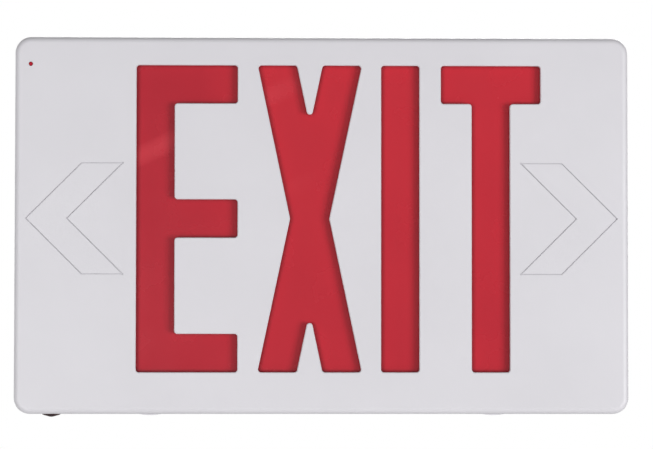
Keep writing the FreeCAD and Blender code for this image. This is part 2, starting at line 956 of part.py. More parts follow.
def battery_cradle():
    """Side tabs, end stops and two rails that hold the pack."""
    front = plate_front_y - cradle_height
    back = plate_front_y + bite
    left = battery_left - battery_gap
    right = battery_right + battery_gap
    low = battery_bottom - battery_gap
    high = battery_top + battery_gap
    half_tab = cradle_tab_length / 2
    pieces = []
    for z in (battery_bottom + cradle_tab_inset, battery_top - cradle_tab_inset):
        pieces.append(block(left - cradle_wall, left, front, back, z - half_tab, z + half_tab))
        pieces.append(block(right, right + cradle_wall, front, back, z - half_tab, z + half_tab))
    for edge, far, width in ((low, low - cradle_wall, cradle_low_stop), (high, high + cradle_wall, cradle_high_stop)):
        pieces.append(block(battery_x - width / 2, battery_x + width / 2, front, back, edge, far))
    half_rail = cradle_rail_width / 2
    for x in (left + cradle_rail_inset, right - cradle_rail_inset):
        pieces.append(block(x - half_rail, x + half_rail, cell_y + cell_radius, back, battery_bottom, battery_top))
    return pieces


def strap_mounts():
    """Screw boss on the right of the battery and a hooked ear on its left."""
    strap_left = battery_left - battery_gap
    toe_end = strap_left - strap_toe - hook_gap
    far = toe_end - hook_wall
    ear_y = strap_foot_y - strap_thickness - hook_gap
    low = strap_screw_z - strap_width / 2 + hook_side_room
    high = strap_screw_z + strap_width / 2 - hook_side_room
    boss = rod_y(strap_screw_x, strap_screw_z, strap_foot_y, plate_front_y + bite, strap_boss_radius)
    post = block(toe_end, far, ear_y - hook_thickness, plate_front_y + bite, low, high)
    hook = block(strap_left - strap_thickness - 2 * hook_gap, far, ear_y - hook_thickness, ear_y, low, high)
    return [boss, post, hook]


def through_plate(x, z, radius):
    return rod_y(x, z, plate_front_y - past, past, radius)


def round_slot(x, z, length_x, length_z, radius):
    """Slot through the plate with round ends, long in X or in Z."""
    half_x = max(length_x / 2 - radius, 0)
    half_z = max(length_z / 2 - radius, 0)
    wide_x = half_x if half_x > 0 else radius
    wide_z = half_z if half_z > 0 else radius
    middle = prism(rectangle(x - wide_x, x + wide_x, z - wide_z, z + wide_z), 0, plate_front_y - past, past)
    ends = [through_plate(x + side * half_x, z + side * half_z, radius) for side in (-1, 1)]
    return [middle] + ends


def wall_openings():
    """Cable hole, box slots level and upright, and two keyholes."""
    cutters = [rod_y(0, 0, plate_front_y - rib_height - past, past, cable_hole_radius)]
    width = 2 * box_slot_radius
    for side in (-1, 1):
        offset = side * box_slot_spacing / 2
        cutters += round_slot(offset, 0, box_slot_length, width, box_slot_radius)
        cutters += round_slot(0, offset, width, box_slot_length, box_slot_radius)
        hang_x = side * keyhole_spacing / 2
        neck = rectangle(hang_x - keyhole_slot_radius, hang_x + keyhole_slot_radius, keyhole_z,
                         keyhole_z + keyhole_travel)
        cutters.append(prism(neck, 0, plate_front_y - past, past))
        cutters.append(through_plate(hang_x, keyhole_z, keyhole_entry_radius))
        cutters.append(through_plate(hang_x, keyhole_z + keyhole_travel, keyhole_slot_radius))
    return cutters


def plate_screw_holes():
    pilot = screw_radius + pilot_gap
    cutters = []
    for x, z in screw_places():
        cutters.append(through_plate(x, z, screw_radius + screw_clearance))
        cutters.append(rod_y(x, z, plate_counterbore_y(), past, screw_head_radius + screw_clearance))
    for x, z in charger_screw_places():
        cutters.append(rod_y(x, z, charger_back_y - past, charger_back_y + small_screw_length, pilot))
    cutters.append(rod_y(strap_screw_x, strap_screw_z, strap_foot_y - past, strap_foot_y + small_screw_length, pilot))
    return cutters


def back_plate():
    gap = plate_clearance
    plate = panel(inner_x - gap, inner_z - gap, inner_radius - gap, plate_front_y, 0)
    pieces = [plate] + plate_ribs() + battery_cradle() + strap_mounts()
    for x, z in charger_screw_places():
        pieces.append(rod_y(x, z, charger_back_y, plate_front_y + bite, charger_boss_radius))
    for x, z in post_places():
        pieces.append(rod_y(x, z, reflector_back_y, plate_front_y + bite, post_radius))
        pieces.append(rod_y(x, z, reflector_back_y - post_pin_length, reflector_back_y, stake_radius))
    return join(pieces).cut(wall_openings() + plate_screw_holes())


# ------------------------------------------------------------ light engine
def lamp_strip(side):
    """Narrow circuit board with rounded corners and a hole at each end."""
    seat = side * strip_z
    half = strip_length / 2
    board = block(-half, half, strip_front_y, strip_back_y, seat, side * strip_inner_z)
    board = board.makeFillet(strip_corner_radius, upright_edges(board))
    holes = []
    for x in (-half + strip_hole_inset, half - strip_hole_inset):
        start = Vector(x, strip_middle_y, seat + side * past)
        end = Vector(x, strip_middle_y, side * (strip_inner_z - past))
        holes.append(rod(start, end, strip_hole_radius))
    return board.cut(holes)


def lamp(x, side):
    """Surface mounted lamp: a square case with its polarity corner cut off."""
    half = lamp_size / 2
    foot = side * strip_inner_z
    case = block(x - half, x + half, strip_middle_y - half, strip_middle_y + half, foot, foot - side * lamp_height)
    return case.makeChamfer(lamp_corner_cut, upright_edges(case)[:1])


def lamps(side):
    pitch = strip_length / lamp_count
    return [lamp(-strip_length / 2 + pitch * (i + 0.5), side) for i in range(lamp_count)]


def reflector():
    """Bright sheet behind the legend, with a return flange folded along its top and bottom."""
    back = reflector_back_y
    front = reflector_front_y
    half = reflector_half
    thin = reflector_thickness
    rear = back + reflector_flange
    outline = [
        (rear, -half), (rear, -half + thin), (back, -half + thin), (back, half - thin), (rear, half - thin),
        (rear, half), (front, half), (front, -half),
    ]
    sheet = profile_prism(outline, reflector_left, reflector_right)
    folds = long_edges_at_depth(sheet, front, 2 * half)
    sheet = sheet.makeFillet(thin * reflector_fold_ratio, folds)
    hole_radius = stake_radius + stake_hole_gap
    return sheet.cut([rod_y(x, z, front - past, back + past, hole_radius) for x, z in post_places()])


def push_nut(x, z):
    """Spring steel ring pushed over a post to hold the reflector."""
    near = reflector_front_y
    far = near - push_nut_thickness
    return rod_y(x, z, near, far, push_nut_radius).cut(rod_y(x, z, near + past, far - past, stake_radius + pilot_gap))


# ------------------------------------------------------------ charger board
def on_board(height):
    return charger_front_y - height


def charger_board():
    board = prism(rectangle(charger_left, charger_right, charger_bottom, charger_top), charger_corner_radius,
                  charger_back_y, charger_front_y)
    cutters = [
        rod_y(x, z, charger_back_y + past, charger_front_y - past, screw_radius + screw_clearance)
        for x, z in charger_screw_places()
    ]
    left = charger_left + isolation_from_left
    z = charger_top - isolation_from_top
    half = isolation_slot_width / 2
    slot = rectangle(left, left + isolation_slot_length, z - half, z + half)
    cutters.append(prism(slot, isolation_slot_corner, charger_back_y + past, charger_front_y - past))
    return board.cut(cutters)


def transformer_core():
    """Stacked E and I plates: a block with two windows beside the middle leg."""
    foot = on_board(core_stand)
    top = foot - core_rise
    left = transformer_x - core_stack / 2
    right = transformer_x + core_stack / 2
    half_length = core_length / 2
    core = block(left, right, foot, top, transformer_z - half_length, transformer_z + half_length)
    seam_y = top + core_limb
    cutters = []
    for side, edge in ((-1, left), (1, right)):
        near = transformer_z + side * core_leg / 2
        far = transformer_z + side * (half_length - core_limb)
        cutters.append(block(left - past, right + past, foot - core_limb, seam_y, near, far))
        cutters.append(block(edge, edge - side * core_seam_depth, seam_y - core_seam / 2, seam_y + core_seam / 2,
                             transformer_z - half_length - past, transformer_z + half_length + past))
    return core.cut(cutters)


def leg_sleeve(wall_in, wall_out, y0, y1):
    """Rectangular tube round the middle leg, between two distances from the leg's faces."""
    back, front = max(y0, y1), min(y0, y1)
    half_x = core_stack / 2
    half_z = core_leg / 2
    outer = block(transformer_x - half_x - wall_out, transformer_x + half_x + wall_out, back, front,
                  transformer_z - half_z - wall_out, transformer_z + half_z + wall_out)
    inner = block(transformer_x - half_x - wall_in, transformer_x + half_x + wall_in, back + past, front - past,
                  transformer_z - half_z - wall_in, transformer_z + half_z + wall_in)
    return outer.cut(inner)


def bobbin_low_y():
    return on_board(core_stand + core_limb + bobbin_end_gap)


def bobbin_high_y():
    return on_board(core_stand + core_rise - core_limb - bobbin_end_gap)


def transformer_bobbin():
    """Sleeve with two flanges, and a foot on each side that stands on the board."""
    low = bobbin_low_y()
    high = bobbin_high_y()
    flange = core_length / 2 - core_limb - core_leg / 2 - bobbin_flange_gap
    low_z = transformer_z - core_leg / 2
    pieces = [
        leg_sleeve(bobbin_gap, bobbin_gap + bobbin_wall, low, high),
        leg_sleeve(bobbin_gap, flange, low, low - bobbin_wall),
        leg_sleeve(bobbin_gap, flange, high + bobbin_wall, high),
    ]
    for side in (-1, 1):
        near = transformer_x + side * (core_stack / 2 + bobbin_gap)
        far = transformer_x + side * (core_stack / 2 + flange)
        pieces.append(block(near, far, low, charger_front_y, low_z, low_z + core_leg))
    return join(pieces)


def transformer_winding():
    inner = bobbin_gap + bobbin_wall
    return leg_sleeve(inner, inner + winding_build, bobbin_low_y() - bobbin_wall, bobbin_high_y() + bobbin_wall)


def standing_can(x, z, radius, height):
    """Electrolytic capacitor: a can with its crimp near the board."""
    neck = radius * can_crimp_ratio
    profile = [
        (0, 0), (radius, 0), (radius, can_crimp_low), (neck, can_crimp_low), (neck, can_crimp_high),
        (radius, can_crimp_high), (radius, height), (0, height),
    ]
    return turned(profile, Vector(x, charger_front_y, z), Vector(0, -1, 0))


def filter_capacitors():
    tall = standing_can(charger_left + tall_can_from_left, charger_bottom + tall_can_from_bottom, tall_can_radius,
                        tall_can_height)
    short = standing_can(charger_left + short_can_from_left, charger_bottom + short_can_from_bottom,
                         short_can_radius, short_can_height)
    return [tall, short]


def axial_part(x, z, radius, length):
    """Diode or resistor lying along X, its two flat leads bent down to the board."""
    half_lead = axial_lead / 2
    axis_y = on_board(radius + axial_lift)
    half_body = length / 2
    pieces = [rod(Vector(x - half_body, axis_y, z), Vector(x + half_body, axis_y, z), radius)]
    for side in (-1, 1):
        near = x + side * (half_body - axial_root)
        bend = x + side * axial_span / 2
        low_z = z - half_lead
        high_z = z + half_lead
        pieces.append(block(near, bend, axis_y - half_lead, axis_y + half_lead, low_z, high_z))
        pieces.append(block(bend, bend - side * axial_lead, axis_y - half_lead, charger_front_y, low_z, high_z))
    return join(pieces)


def rectifier_diodes():
    x = charger_left + diodes_from_left
    z = charger_bottom + diodes_from_bottom
    return [axial_part(x, z - i * diode_pitch, diode_radius, diode_length) for i in range(diode_count)]


def resistors():
    x = charger_left + resistors_from_left
    z = charger_bottom + resistors_from_bottom
    return [axial_part(x, z - i * resistor_pitch, resistor_radius, resistor_length) for i in range(resistor_count)]


def charge_controller():
    """Eight legged chip with its end notch and formed legs."""
    x = charger_left + controller_from_left
    z = charger_bottom + controller_from_bottom
    low = on_board(chip_low)
    high = on_board(chip_high)
    end = z + chip_length / 2
    body = block(x - chip_width / 2, x + chip_width / 2, low, high, z - chip_length / 2, end)
    body = body.makeChamfer(chip_bevel, edges_at_depth(body, low) + edges_at_depth(body, high))
    body = body.cut(rod_y(x, end, high - past, high + chip_notch_depth, chip_notch_radius))
    half_leg = chip_leg_thickness / 2
    middle = (low + high) / 2
    legs = []
    for i in range(chip_leg_rows):
        leg_z = z + (i - (chip_leg_rows - 1) / 2) * chip_leg_pitch
        for side in (-1, 1):
            root = x + side * (chip_width / 2 - chip_leg_root)
            knee = x + side * chip_leg_reach
            legs.append(block(root, knee, middle - half_leg, middle + half_leg, leg_z - chip_shoulder_width / 2,
                              leg_z + chip_shoulder_width / 2))
            legs.append(block(knee - side * chip_leg_thickness, knee, middle, charger_front_y,
                              leg_z - chip_leg_width / 2, leg_z + chip_leg_width / 2))
    return join([body] + legs)


def lamp_driver():
    """Three legged power transistor standing on the board, with its metal tab."""
    x = charger_left + driver_from_left
    z = charger_bottom + driver_from_bottom
    foot = on_board(driver_stand)
    tab_z = z + driver_tab_depth
    left = x - driver_half_width
    right = x + driver_half_width
    body = block(left, right, foot, foot - driver_body_height, z - driver_body_depth, z)
    tab = block(left, right, foot, foot - driver_tab_height, z, tab_z)
    hole_y = foot - driver_hole_height
    tab = tab.cut(rod(Vector(x, hole_y, z - past), Vector(x, hole_y, tab_z + past), driver_hole_radius))
    leg_z = z - driver_tab_depth - driver_leg_back
    legs = []
    for i in (-1, 0, 1):
        leg_x = x + i * chip_leg_pitch
        legs.append(block(leg_x - driver_leg_width / 2, leg_x + driver_leg_width / 2, charger_front_y, foot,
                          leg_z - driver_leg_depth, leg_z))
    return join([body, tab] + legs)


def line_fuse():
    rim = fuse_radius - fuse_edge
    profile = [(0, 0), (fuse_radius, 0), (fuse_radius, fuse_height - fuse_edge), (rim, fuse_height), (0, fuse_height)]
    base = Vector(charger_left + fuse_from_left, charger_front_y, charger_top - fuse_from_top)
    return turned(profile, base, Vector(0, -1, 0))


# ------------------------------------------------------------ supply terminal
def terminal_pole_z(i):
    return terminal_low_z + terminal_pitch * (i + 0.5)


def terminal_well_x():
    return terminal_x + terminal_depth / 2 - terminal_well_set


def supply_terminal():
    left = terminal_x
    right = terminal_x + terminal_depth
    top_z = terminal_low_z + terminal_pitch * terminal_poles
    crest = on_board(terminal_rise)
    outline = [
        (left, charger_front_y), (right, charger_front_y), (right, crest + terminal_front_slope),
        (right - terminal_front_set, crest), (left + terminal_back_set, crest), (left, crest + terminal_back_slope),
    ]
    body = plan_prism(outline, terminal_low_z, top_z)
    half = terminal_wire_opening / 2
    sill = on_board(terminal_wire_sill)
    cutters = []
    for i in range(terminal_poles):
        z = terminal_pole_z(i)
        cutters.append(block(right - terminal_wire_depth, right + past, sill, sill - terminal_wire_opening,
                             z - half, z + half))
        cutters.append(rod_y(terminal_well_x(), z, crest - past, crest + terminal_well_depth, terminal_well_radius))
    return body.cut(cutters)


def terminal_screw(i):
    x = terminal_well_x()
    z = terminal_pole_z(i)
    seat = on_board(terminal_rise - terminal_well_depth)
    top = seat - terminal_screw_height
    head = rod_y(x, z, seat, top, terminal_screw_radius)
    half = terminal_slot_width / 2
    reach = terminal_screw_radius + past
    return head.cut(block(x - reach, x + reach, top + terminal_slot_depth, top - past, z - half, z + half))


# ------------------------------------------------------------ plugs and sockets
def socket_half_length():
    return (plug_pitch * plug_ways + socket_end_room) / 2


def header(z):
    """Open-topped header with a keying slot in its right wall."""
    half_x = socket_width / 2
    half_z = socket_half_length()
    rim = on_board(socket_rise)
    right = socket_x + half_x
    body = block(socket_x - half_x, right, charger_front_y, rim, z - half_z, z + half_z)
    room = block(socket_x - half_x + socket_wall, right - socket_wall, plug_back_y, rim - past,
                 z - half_z + socket_wall, z + half_z - socket_wall)
    key = block(right - socket_wall - past, right + past, plug_back_y - socket_key_sill, rim - past,
                z - socket_key_width / 2, z + socket_key_width / 2)
    return body.cut([room, key])


def plug_way_z(z, way):
    return z + plug_pitch * (way - (plug_ways - 1) / 2)


def plug(z, hole_radius):
    """Wired plug: a block with a keying ridge and a hole for each wire."""
    half_x = socket_width / 2 - socket_wall - plug_gap
    half_z = socket_half_length() - socket_wall - plug_gap
    right = socket_x + socket_width / 2
    body = block(socket_x - half_x, socket_x + half_x, plug_back_y, plug_front_y, z - half_z, z + half_z)
    body = body.makeChamfer(plug_bevel, edges_at_depth(body, plug_front_y))
    ridge = block(socket_x + half_x - bite, right + plug_ridge_reach, plug_back_y - plug_ridge_low,
                  plug_front_y + plug_ridge_drop, z - plug_ridge_width / 2, z + plug_ridge_width / 2)
    holes = [
        rod_y(socket_x, plug_way_z(z, way), plug_front_y - past, plug_front_y + plug_wire_depth, hole_radius)
        for way in range(plug_ways)
    ]
    return join([body, ridge]).cut(holes)


def plug_wire_end(z, way):
    return Vector(socket_x, plug_front_y + plug_wire_depth, plug_way_z(z, way))


# ------------------------------------------------------------ battery
def cell_x(i):
    return battery_left + cell_radius * (2 * i + 1)


def cell_point(i, z):
    return Vector(cell_x(i), cell_y, z)


def battery_pack():
    """Cells side by side in shrink film: flat-sided, with each cell's rim and cap at the top."""
    film_edge = cell_radius - film_flat_drop
    whole = [rod(cell_point(i, battery_bottom), cell_point(i, battery_top), cell_radius) for i in range(cell_count)]
    whole.append(block(cell_x(0), cell_x(cell_count - 1), cell_y - film_edge, cell_y + film_edge, battery_bottom,
                       battery_top))
    floor_z = battery_top - cell_recess
    recesses = []
    caps = []
    for i in range(cell_count):
        recesses.append(rod(cell_point(i, floor_z), cell_point(i, battery_top + past), cell_radius - cell_rim))
        caps.append(rod(cell_point(i, floor_z - bite), cell_point(i, battery_top - cell_terminal_drop),
                        cell_terminal_radius))
    return join([join(whole).cut(recesses)] + caps)


def battery_strap():
    """Bent strip over the cells: a screwed foot on the right and a hooked toe on the left."""
    thin = strap_thickness
    left = battery_left - battery_gap
    right = battery_right + battery_gap
    under = cell_y - cell_radius
    foot = strap_foot_y
    foot_end = strap_screw_x + strap_foot_length
    toe_end = left - strap_toe
    outline = [
        (foot_end, foot), (right, foot), (right, under), (left, under), (left, foot), (toe_end, foot),
        (toe_end, foot - thin), (left - thin, foot - thin), (left - thin, strap_front_y),
        (right + thin, strap_front_y), (right + thin, foot - thin), (foot_end, foot - thin),
    ]
    strip = plan_prism(outline, strap_screw_z - strap_width / 2, strap_screw_z + strap_width / 2)
    outer_bends = [edge for edge in upright_edges(strip) if abs(edge.BoundBox.YMin - strap_front_y) < bite]
    strip = strip.makeFillet(strap_bend_radius, outer_bends)
    hole_radius = screw_radius + screw_clearance
    return strip.cut(rod_y(strap_screw_x, strap_screw_z, foot - thin - past, foot + past, hole_radius))


def battery_strap_screw():
    return pan_screw(strap_screw_x, strap_screw_z, strap_foot_y - strap_thickness, 1, small_screw_length)


# ------------------------------------------------------------ test button
def axis_point(z):
    return Vector(button_x, button_y, z)


def test_button():
    """Domed push button: the dome stands below the case, the flange stops it inside."""
    rim_height = button_dome_radius - math.sqrt(button_dome_radius ** 2 - button_radius ** 2)
    guide_low = button_tip_z + rim_height
    dome = Part.makeSphere(button_dome_radius, axis_point(button_tip_z + button_dome_radius))
    dome = dome.common(rod(axis_point(button_tip_z - past), axis_point(guide_low), button_dome_radius + past))
    guide = rod(axis_point(guide_low), axis_point(button_wall_z), button_radius)
    flange = rod(axis_point(button_wall_z), axis_point(stem_low_z), button_flange_radius)
    stem = rod(axis_point(stem_low_z), axis_point(stem_top_z), button_stem_radius)
    socket = rod(axis_point(stem_top_z - plunger_grip), axis_point(stem_top_z + past), plunger_radius)
    return join([dome, guide, flange, stem]).cut(socket)


def switch_plunger():
    top = switch_bottom + plunger_reach
    stub = rod(axis_point(stem_top_z - plunger_grip), axis_point(top), plunger_radius)
    return stub.makeChamfer(plunger_bevel, edges_at_height(stub, top))


def test_switch():
    """Right-angle push switch on the board, with the plunger's bore opening downward."""
    left = button_x - switch_width / 2
    right = button_x + switch_width / 2
    front = button_y - switch_over_axis
    body = block(left, right, charger_front_y, front, switch_bottom, switch_bottom + switch_height)
    front_edges = [edge for edge in upright_edges(body) if abs(edge.BoundBox.YMin - front) < bite]
    body = body.makeChamfer(switch_bevel, front_edges)
    bore_top = switch_bottom + plunger_reach + button_travel + plunger_end_room
    return body.cut(rod(axis_point(switch_bottom - past), axis_point(bore_top), plunger_radius + plunger_gap))


def button_spring():
    """Compression spring round the stem, from the flange to the switch."""
    half = spring_wire / 2
    low = stem_low_z + half
    high = switch_bottom - half
    path = Part.makeHelix((high - low) / spring_turns, high - low, spring_radius)
    corners = [
        Vector(spring_radius - half, 0, -half), Vector(spring_radius + half, 0, -half),
        Vector(spring_radius + half, 0, half), Vector(spring_radius - half, 0, half),
    ]
    section = Part.makePolygon(corners + corners[:1])
    coil = Part.Wire(path).makePipeShell([section], True, True)
    coil.translate(axis_point(low))
    return coil


# ------------------------------------------------------------ charge lamp
def indicator_led():
    """Round lamp on the board: flange, barrel and dome."""
    base = Vector(lamp_pipe_x, charger_front_y, lamp_pipe_z)
    dome_centre = base - Vector(0, indicator_height - indicator_radius, 0)
    flange = rod(base, base - Vector(0, indicator_flange_height, 0), indicator_flange_radius)
    barrel = rod(base, dome_centre, indicator_radius)
    return join([flange, barrel, Part.makeSphere(indicator_radius, dome_centre)])


def indicator_light_pipe():
    """Clear rod from the lamp to the face, with a cup over the lamp."""
    crown = on_board(indicator_height)
    rim = crown + lamp_pipe_cup_depth
    front = crown - lamp_pipe_cup_floor
    cup = rod_y(lamp_pipe_x, lamp_pipe_z, rim, front, indicator_radius + lamp_pipe_cup_wall)
    room = rod_y(lamp_pipe_x, lamp_pipe_z, rim + past, crown - lamp_pipe_gap, indicator_radius + lamp_pipe_gap)
    pipe = rod_y(lamp_pipe_x, lamp_pipe_z, front, front_y - lamp_pipe_proud, lamp_pipe_radius)
    return join([cup.cut(room), pipe])


# ------------------------------------------------------------ wires
def wire_path(points):
    """Straight runs joined by tangent arcs, each as large as its two runs allow."""
    edges = []
    start = points[0]
    for i in range(1, len(points) - 1):
        before, corner, after = points[i - 1], points[i], points[i + 1]
        to_last = (before - corner).normalize()
        to_next = (after - corner).normalize()
        half_turn = (math.pi - to_last.getAngle(to_next)) / 2
        reach = wire_bend_share * min((before - corner).Length, (after - corner).Length)
        radius = reach / math.tan(half_turn)
        middle = (to_last + to_next).normalize()
        crown = corner + middle * (radius / math.cos(half_turn) - radius)
        entry = corner + to_last * reach
        leave = corner + to_next * reach
        edges.append(Part.LineSegment(start, entry).toShape())
        edges.append(Part.Arc(entry, crown, leave).toShape())
        start = leave
    edges.append(Part.LineSegment(start, points[-1]).toShape())
    return Part.Wire(edges)


def wire_tube(points, radius):
    circle = Part.Circle(points[0], points[1] - points[0], radius).toShape()
    return wire_path(points).makePipe(Part.Face(Part.Wire(circle)))


def battery_lead(way):
    """From the plug, round the reflector's edge, to the top of the pack."""
    start = plug_wire_end(battery_socket_z, way)
    pass_x = reflector_left - 4.4 + 2.4 * way
    pass_z = battery_top + 6.0 + 4.0 * way
    front = plug_front_y - 4.5
    end = cell_point(way, battery_top - cell_terminal_drop)
    points = [
        start, Vector(start.x, front, start.z), Vector(pass_x, front + 1.0, pass_z - 3.0),
        Vector(pass_x, cell_y - 3.0, pass_z), Vector(end.x, cell_y, pass_z + 2.0), end,
    ]
    return wire_tube(points, wire_radius)


def lamp_lead(way):
    """Two-core lead from the plug to one lamp strip: way 1 goes up, way 0 goes down."""
    start = plug_wire_end(lamp_socket_z, way)
    side = 1 if way == 1 else -1
    end_x = 5.0 - strip_length / 2
    points = [
        start, Vector(start.x, strip_middle_y - 4.0, start.z), Vector(end_x, strip_middle_y, side * (strip_z - 14.0)),
        Vector(end_x, strip_middle_y, side * strip_inner_z),
    ]
    return wire_tube(points, lamp_lead_radius)


# ------------------------------------------------------------ all pieces
def build():
    os.makedirs("parts", exist_ok=True)
    save("front_cover", front_cover())
    save("red_diffuser", red_diffuser())
    save("housing", housing())
    save("back_plate", back_plate())
    save("back_plate_screws", back_plate_screws())
    save("lamp_strip_top", lamp_strip(1))
    save("lamp_strip_bottom", lamp_strip(-1))
    save("lamps_top", lamps(1))
    save("lamps_bottom", lamps(-1))
    save("reflector", reflector())
    save("reflector_push_nuts", [push_nut(x, z) for x, z in post_places()])
    save("charger_board", charger_board())
    save("charger_board_screws", charger_board_screws())
    save("transformer_core", transformer_core())
    save("transformer_bobbin", transformer_bobbin())
    save("transformer_winding", transformer_winding())
    save("filter_capacitors", filter_capacitors())
    save("rectifier_diodes", rectifier_diodes())
    save("resistors", resistors())
    save("charge_controller", charge_controller())
    save("lamp_driver", lamp_driver())
    save("line_fuse", line_fuse())
    save("supply_terminal", supply_terminal())
    save("terminal_screws", [terminal_screw(i) for i in range(terminal_poles)])
    save("battery_socket", header(battery_socket_z))
    save("battery_plug", plug(battery_socket_z, wire_radius + wire_hole_gap))
    save("lamp_socket", header(lamp_socket_z))
    save("lamp_plug", plug(lamp_socket_z, lamp_lead_radius + wire_hole_gap))
    save("battery_pack", battery_pack())
    save("battery_strap", battery_strap())
    save("battery_strap_screw", battery_strap_screw())
    save("test_button", test_button())
    save("switch_plunger", switch_plunger())
    save("test_switch", test_switch())
    save("button_spring", button_spring())
    save("indicator_led", indicator_led())
    save("indicator_light_pipe", indicator_light_pipe())
    save("battery_lead_red", battery_lead(0))
    save("battery_lead_black", battery_lead(1))
    save("lamp_lead_top", lamp_lead(1))
    save("lamp_lead_bottom", lamp_lead(0))


build()
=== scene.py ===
import json
import math
import bmesh
import bpy
from mathutils import Matrix, Vector


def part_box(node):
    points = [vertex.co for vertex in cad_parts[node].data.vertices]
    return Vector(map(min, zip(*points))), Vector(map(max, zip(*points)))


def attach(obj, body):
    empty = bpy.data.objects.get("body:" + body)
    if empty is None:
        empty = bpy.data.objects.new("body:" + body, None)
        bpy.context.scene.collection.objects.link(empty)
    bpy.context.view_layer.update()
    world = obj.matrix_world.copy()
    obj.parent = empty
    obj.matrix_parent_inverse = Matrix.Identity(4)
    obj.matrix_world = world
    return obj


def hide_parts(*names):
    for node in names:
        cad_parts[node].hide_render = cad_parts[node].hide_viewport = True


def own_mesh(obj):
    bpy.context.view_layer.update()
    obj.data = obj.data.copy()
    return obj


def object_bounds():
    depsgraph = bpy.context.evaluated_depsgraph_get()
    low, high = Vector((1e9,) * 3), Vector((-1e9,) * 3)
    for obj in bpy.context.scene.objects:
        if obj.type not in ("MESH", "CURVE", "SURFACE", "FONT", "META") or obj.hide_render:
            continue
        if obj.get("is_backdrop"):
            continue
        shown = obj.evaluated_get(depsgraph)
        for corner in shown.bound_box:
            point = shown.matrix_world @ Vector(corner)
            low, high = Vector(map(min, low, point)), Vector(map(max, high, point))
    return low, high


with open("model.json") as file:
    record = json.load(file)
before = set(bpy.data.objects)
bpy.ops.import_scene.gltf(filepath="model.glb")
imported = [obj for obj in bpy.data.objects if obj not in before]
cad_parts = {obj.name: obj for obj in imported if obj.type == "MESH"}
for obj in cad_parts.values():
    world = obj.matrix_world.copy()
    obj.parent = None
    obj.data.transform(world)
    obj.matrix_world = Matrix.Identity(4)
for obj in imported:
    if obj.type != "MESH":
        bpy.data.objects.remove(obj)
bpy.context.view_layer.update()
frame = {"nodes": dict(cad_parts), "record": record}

millimetre = 0.001
nodes = frame["nodes"]
print("stage: frame loaded,", len(nodes), "parts")


def linearColor(hexColor, alpha=1.0):
    # an sRGB hex string becomes the linear colour that the shader wants
    channels = [int(hexColor[i:i + 2], 16) / 255 for i in (1, 3, 5)]
    linear = [c / 12.92 if c <= 0.04045 else ((c + 0.055) / 1.055) ** 2.4 for c in channels]
    return (*linear, alpha)


def addNode(tree, kind, settings=None, links=None):
    # one node: settings go to its sockets or to its own properties, links come from other nodes' outputs
    node = tree.nodes.new(kind)
    for name, value in (settings or {}).items():
        if isinstance(name, int) or name in node.inputs:
            node.inputs[name].default_value = value
        else:
            setattr(node, name, value)
    for socket, source in (links or {}).items():
        tree.links.new(source, node.inputs[socket])
    return node


def patternScale(sizeMm):
    # noise and wave patterns run in metres here, so a feature of sizeMm needs this scale
    return 1000 / sizeMm


def waveScale(sizeMm):
    # at scale 1 a wave texture makes 20 / tau bands in a metre, so a band every sizeMm needs this scale
    return patternScale(sizeMm) * math.tau / 20


def startMaterial(name, shaderSettings):
    # a material with one principled shader, and the place on the part as its coordinates
    material = bpy.data.materials.new(name)
    material.use_nodes = True
    tree = material.node_tree
    tree.nodes.clear()
    shader = addNode(tree, "ShaderNodeBsdfPrincipled", shaderSettings)
    addNode(tree, "ShaderNodeOutputMaterial", links={"Surface": shader.outputs[0]})
    place = addNode(tree, "ShaderNodeTexCoord").outputs["Object"]
    return material, tree, shader, place


noiseLook = {"low": 0.3, "high": 0.7, "toneDetail": 3.0, "glossDetail": 4.0}


def toneField(tree, shader, place, darkHex, lightHex, sizeMm):
    # colour that drifts between two close tones over patches of sizeMm
    noise = addNode(tree, "ShaderNodeTexNoise", {
        "Scale": patternScale(sizeMm), "Detail": noiseLook["toneDetail"]}, {"Vector": place})
    ramp = addNode(tree, "ShaderNodeValToRGB", links={"Fac": noise.outputs["Fac"]})
    ramp.color_ramp.elements[0].position = noiseLook["low"]
    ramp.color_ramp.elements[0].color = linearColor(darkHex)
    ramp.color_ramp.elements[1].position = noiseLook["high"]
    ramp.color_ramp.elements[1].color = linearColor(lightHex)
    tree.links.new(ramp.outputs["Color"], shader.inputs["Base Color"])
    return ramp


def surfaceGrain(tree, shader, place, sizeMm, depthMm, strength=1.0, detail=2.0):
    # fine relief of a moulded or coated surface; real grain is mostly under 0.1 mm, too fine to show, so a
    # grainMm under 1 below is drawn coarser than it is, and a larger one is a real ripple
    noise = addNode(tree, "ShaderNodeTexNoise", {"Scale": patternScale(sizeMm), "Detail": detail},
                    {"Vector": place})
    bump = addNode(tree, "ShaderNodeBump", {"Strength": strength, "Distance": depthMm * millimetre},
                   {"Height": noise.outputs["Fac"]})
    tree.links.new(bump.outputs["Normal"], shader.inputs["Normal"])


def roughnessField(tree, shader, place, low, high, sizeMm):
    # gloss that varies a little from patch to patch, as handled or moulded surfaces do
    noise = addNode(tree, "ShaderNodeTexNoise", {
        "Scale": patternScale(sizeMm), "Detail": noiseLook["glossDetail"]}, {"Vector": place})
    spread = addNode(tree, "ShaderNodeMapRange", {
        "From Min": noiseLook["low"], "From Max": noiseLook["high"], "To Min": low, "To Max": high},
        {"Value": noise.outputs["Fac"]})
    tree.links.new(spread.outputs["Result"], shader.inputs["Roughness"])


absLook = {"darkHex": "#dad8dd", "lightHex": "#dedce1", "toneMm": 60, "grainMm": 0.6, "grainDepthMm": 0.012,
           "glossLow": 0.42, "glossHigh": 0.5, "glossMm": 25,
           "creaseShadeHex": "#c6c4c9", "creaseMm": 0.7, "openShare": 0.97, "shutShare": 0.62, "samples": 8}


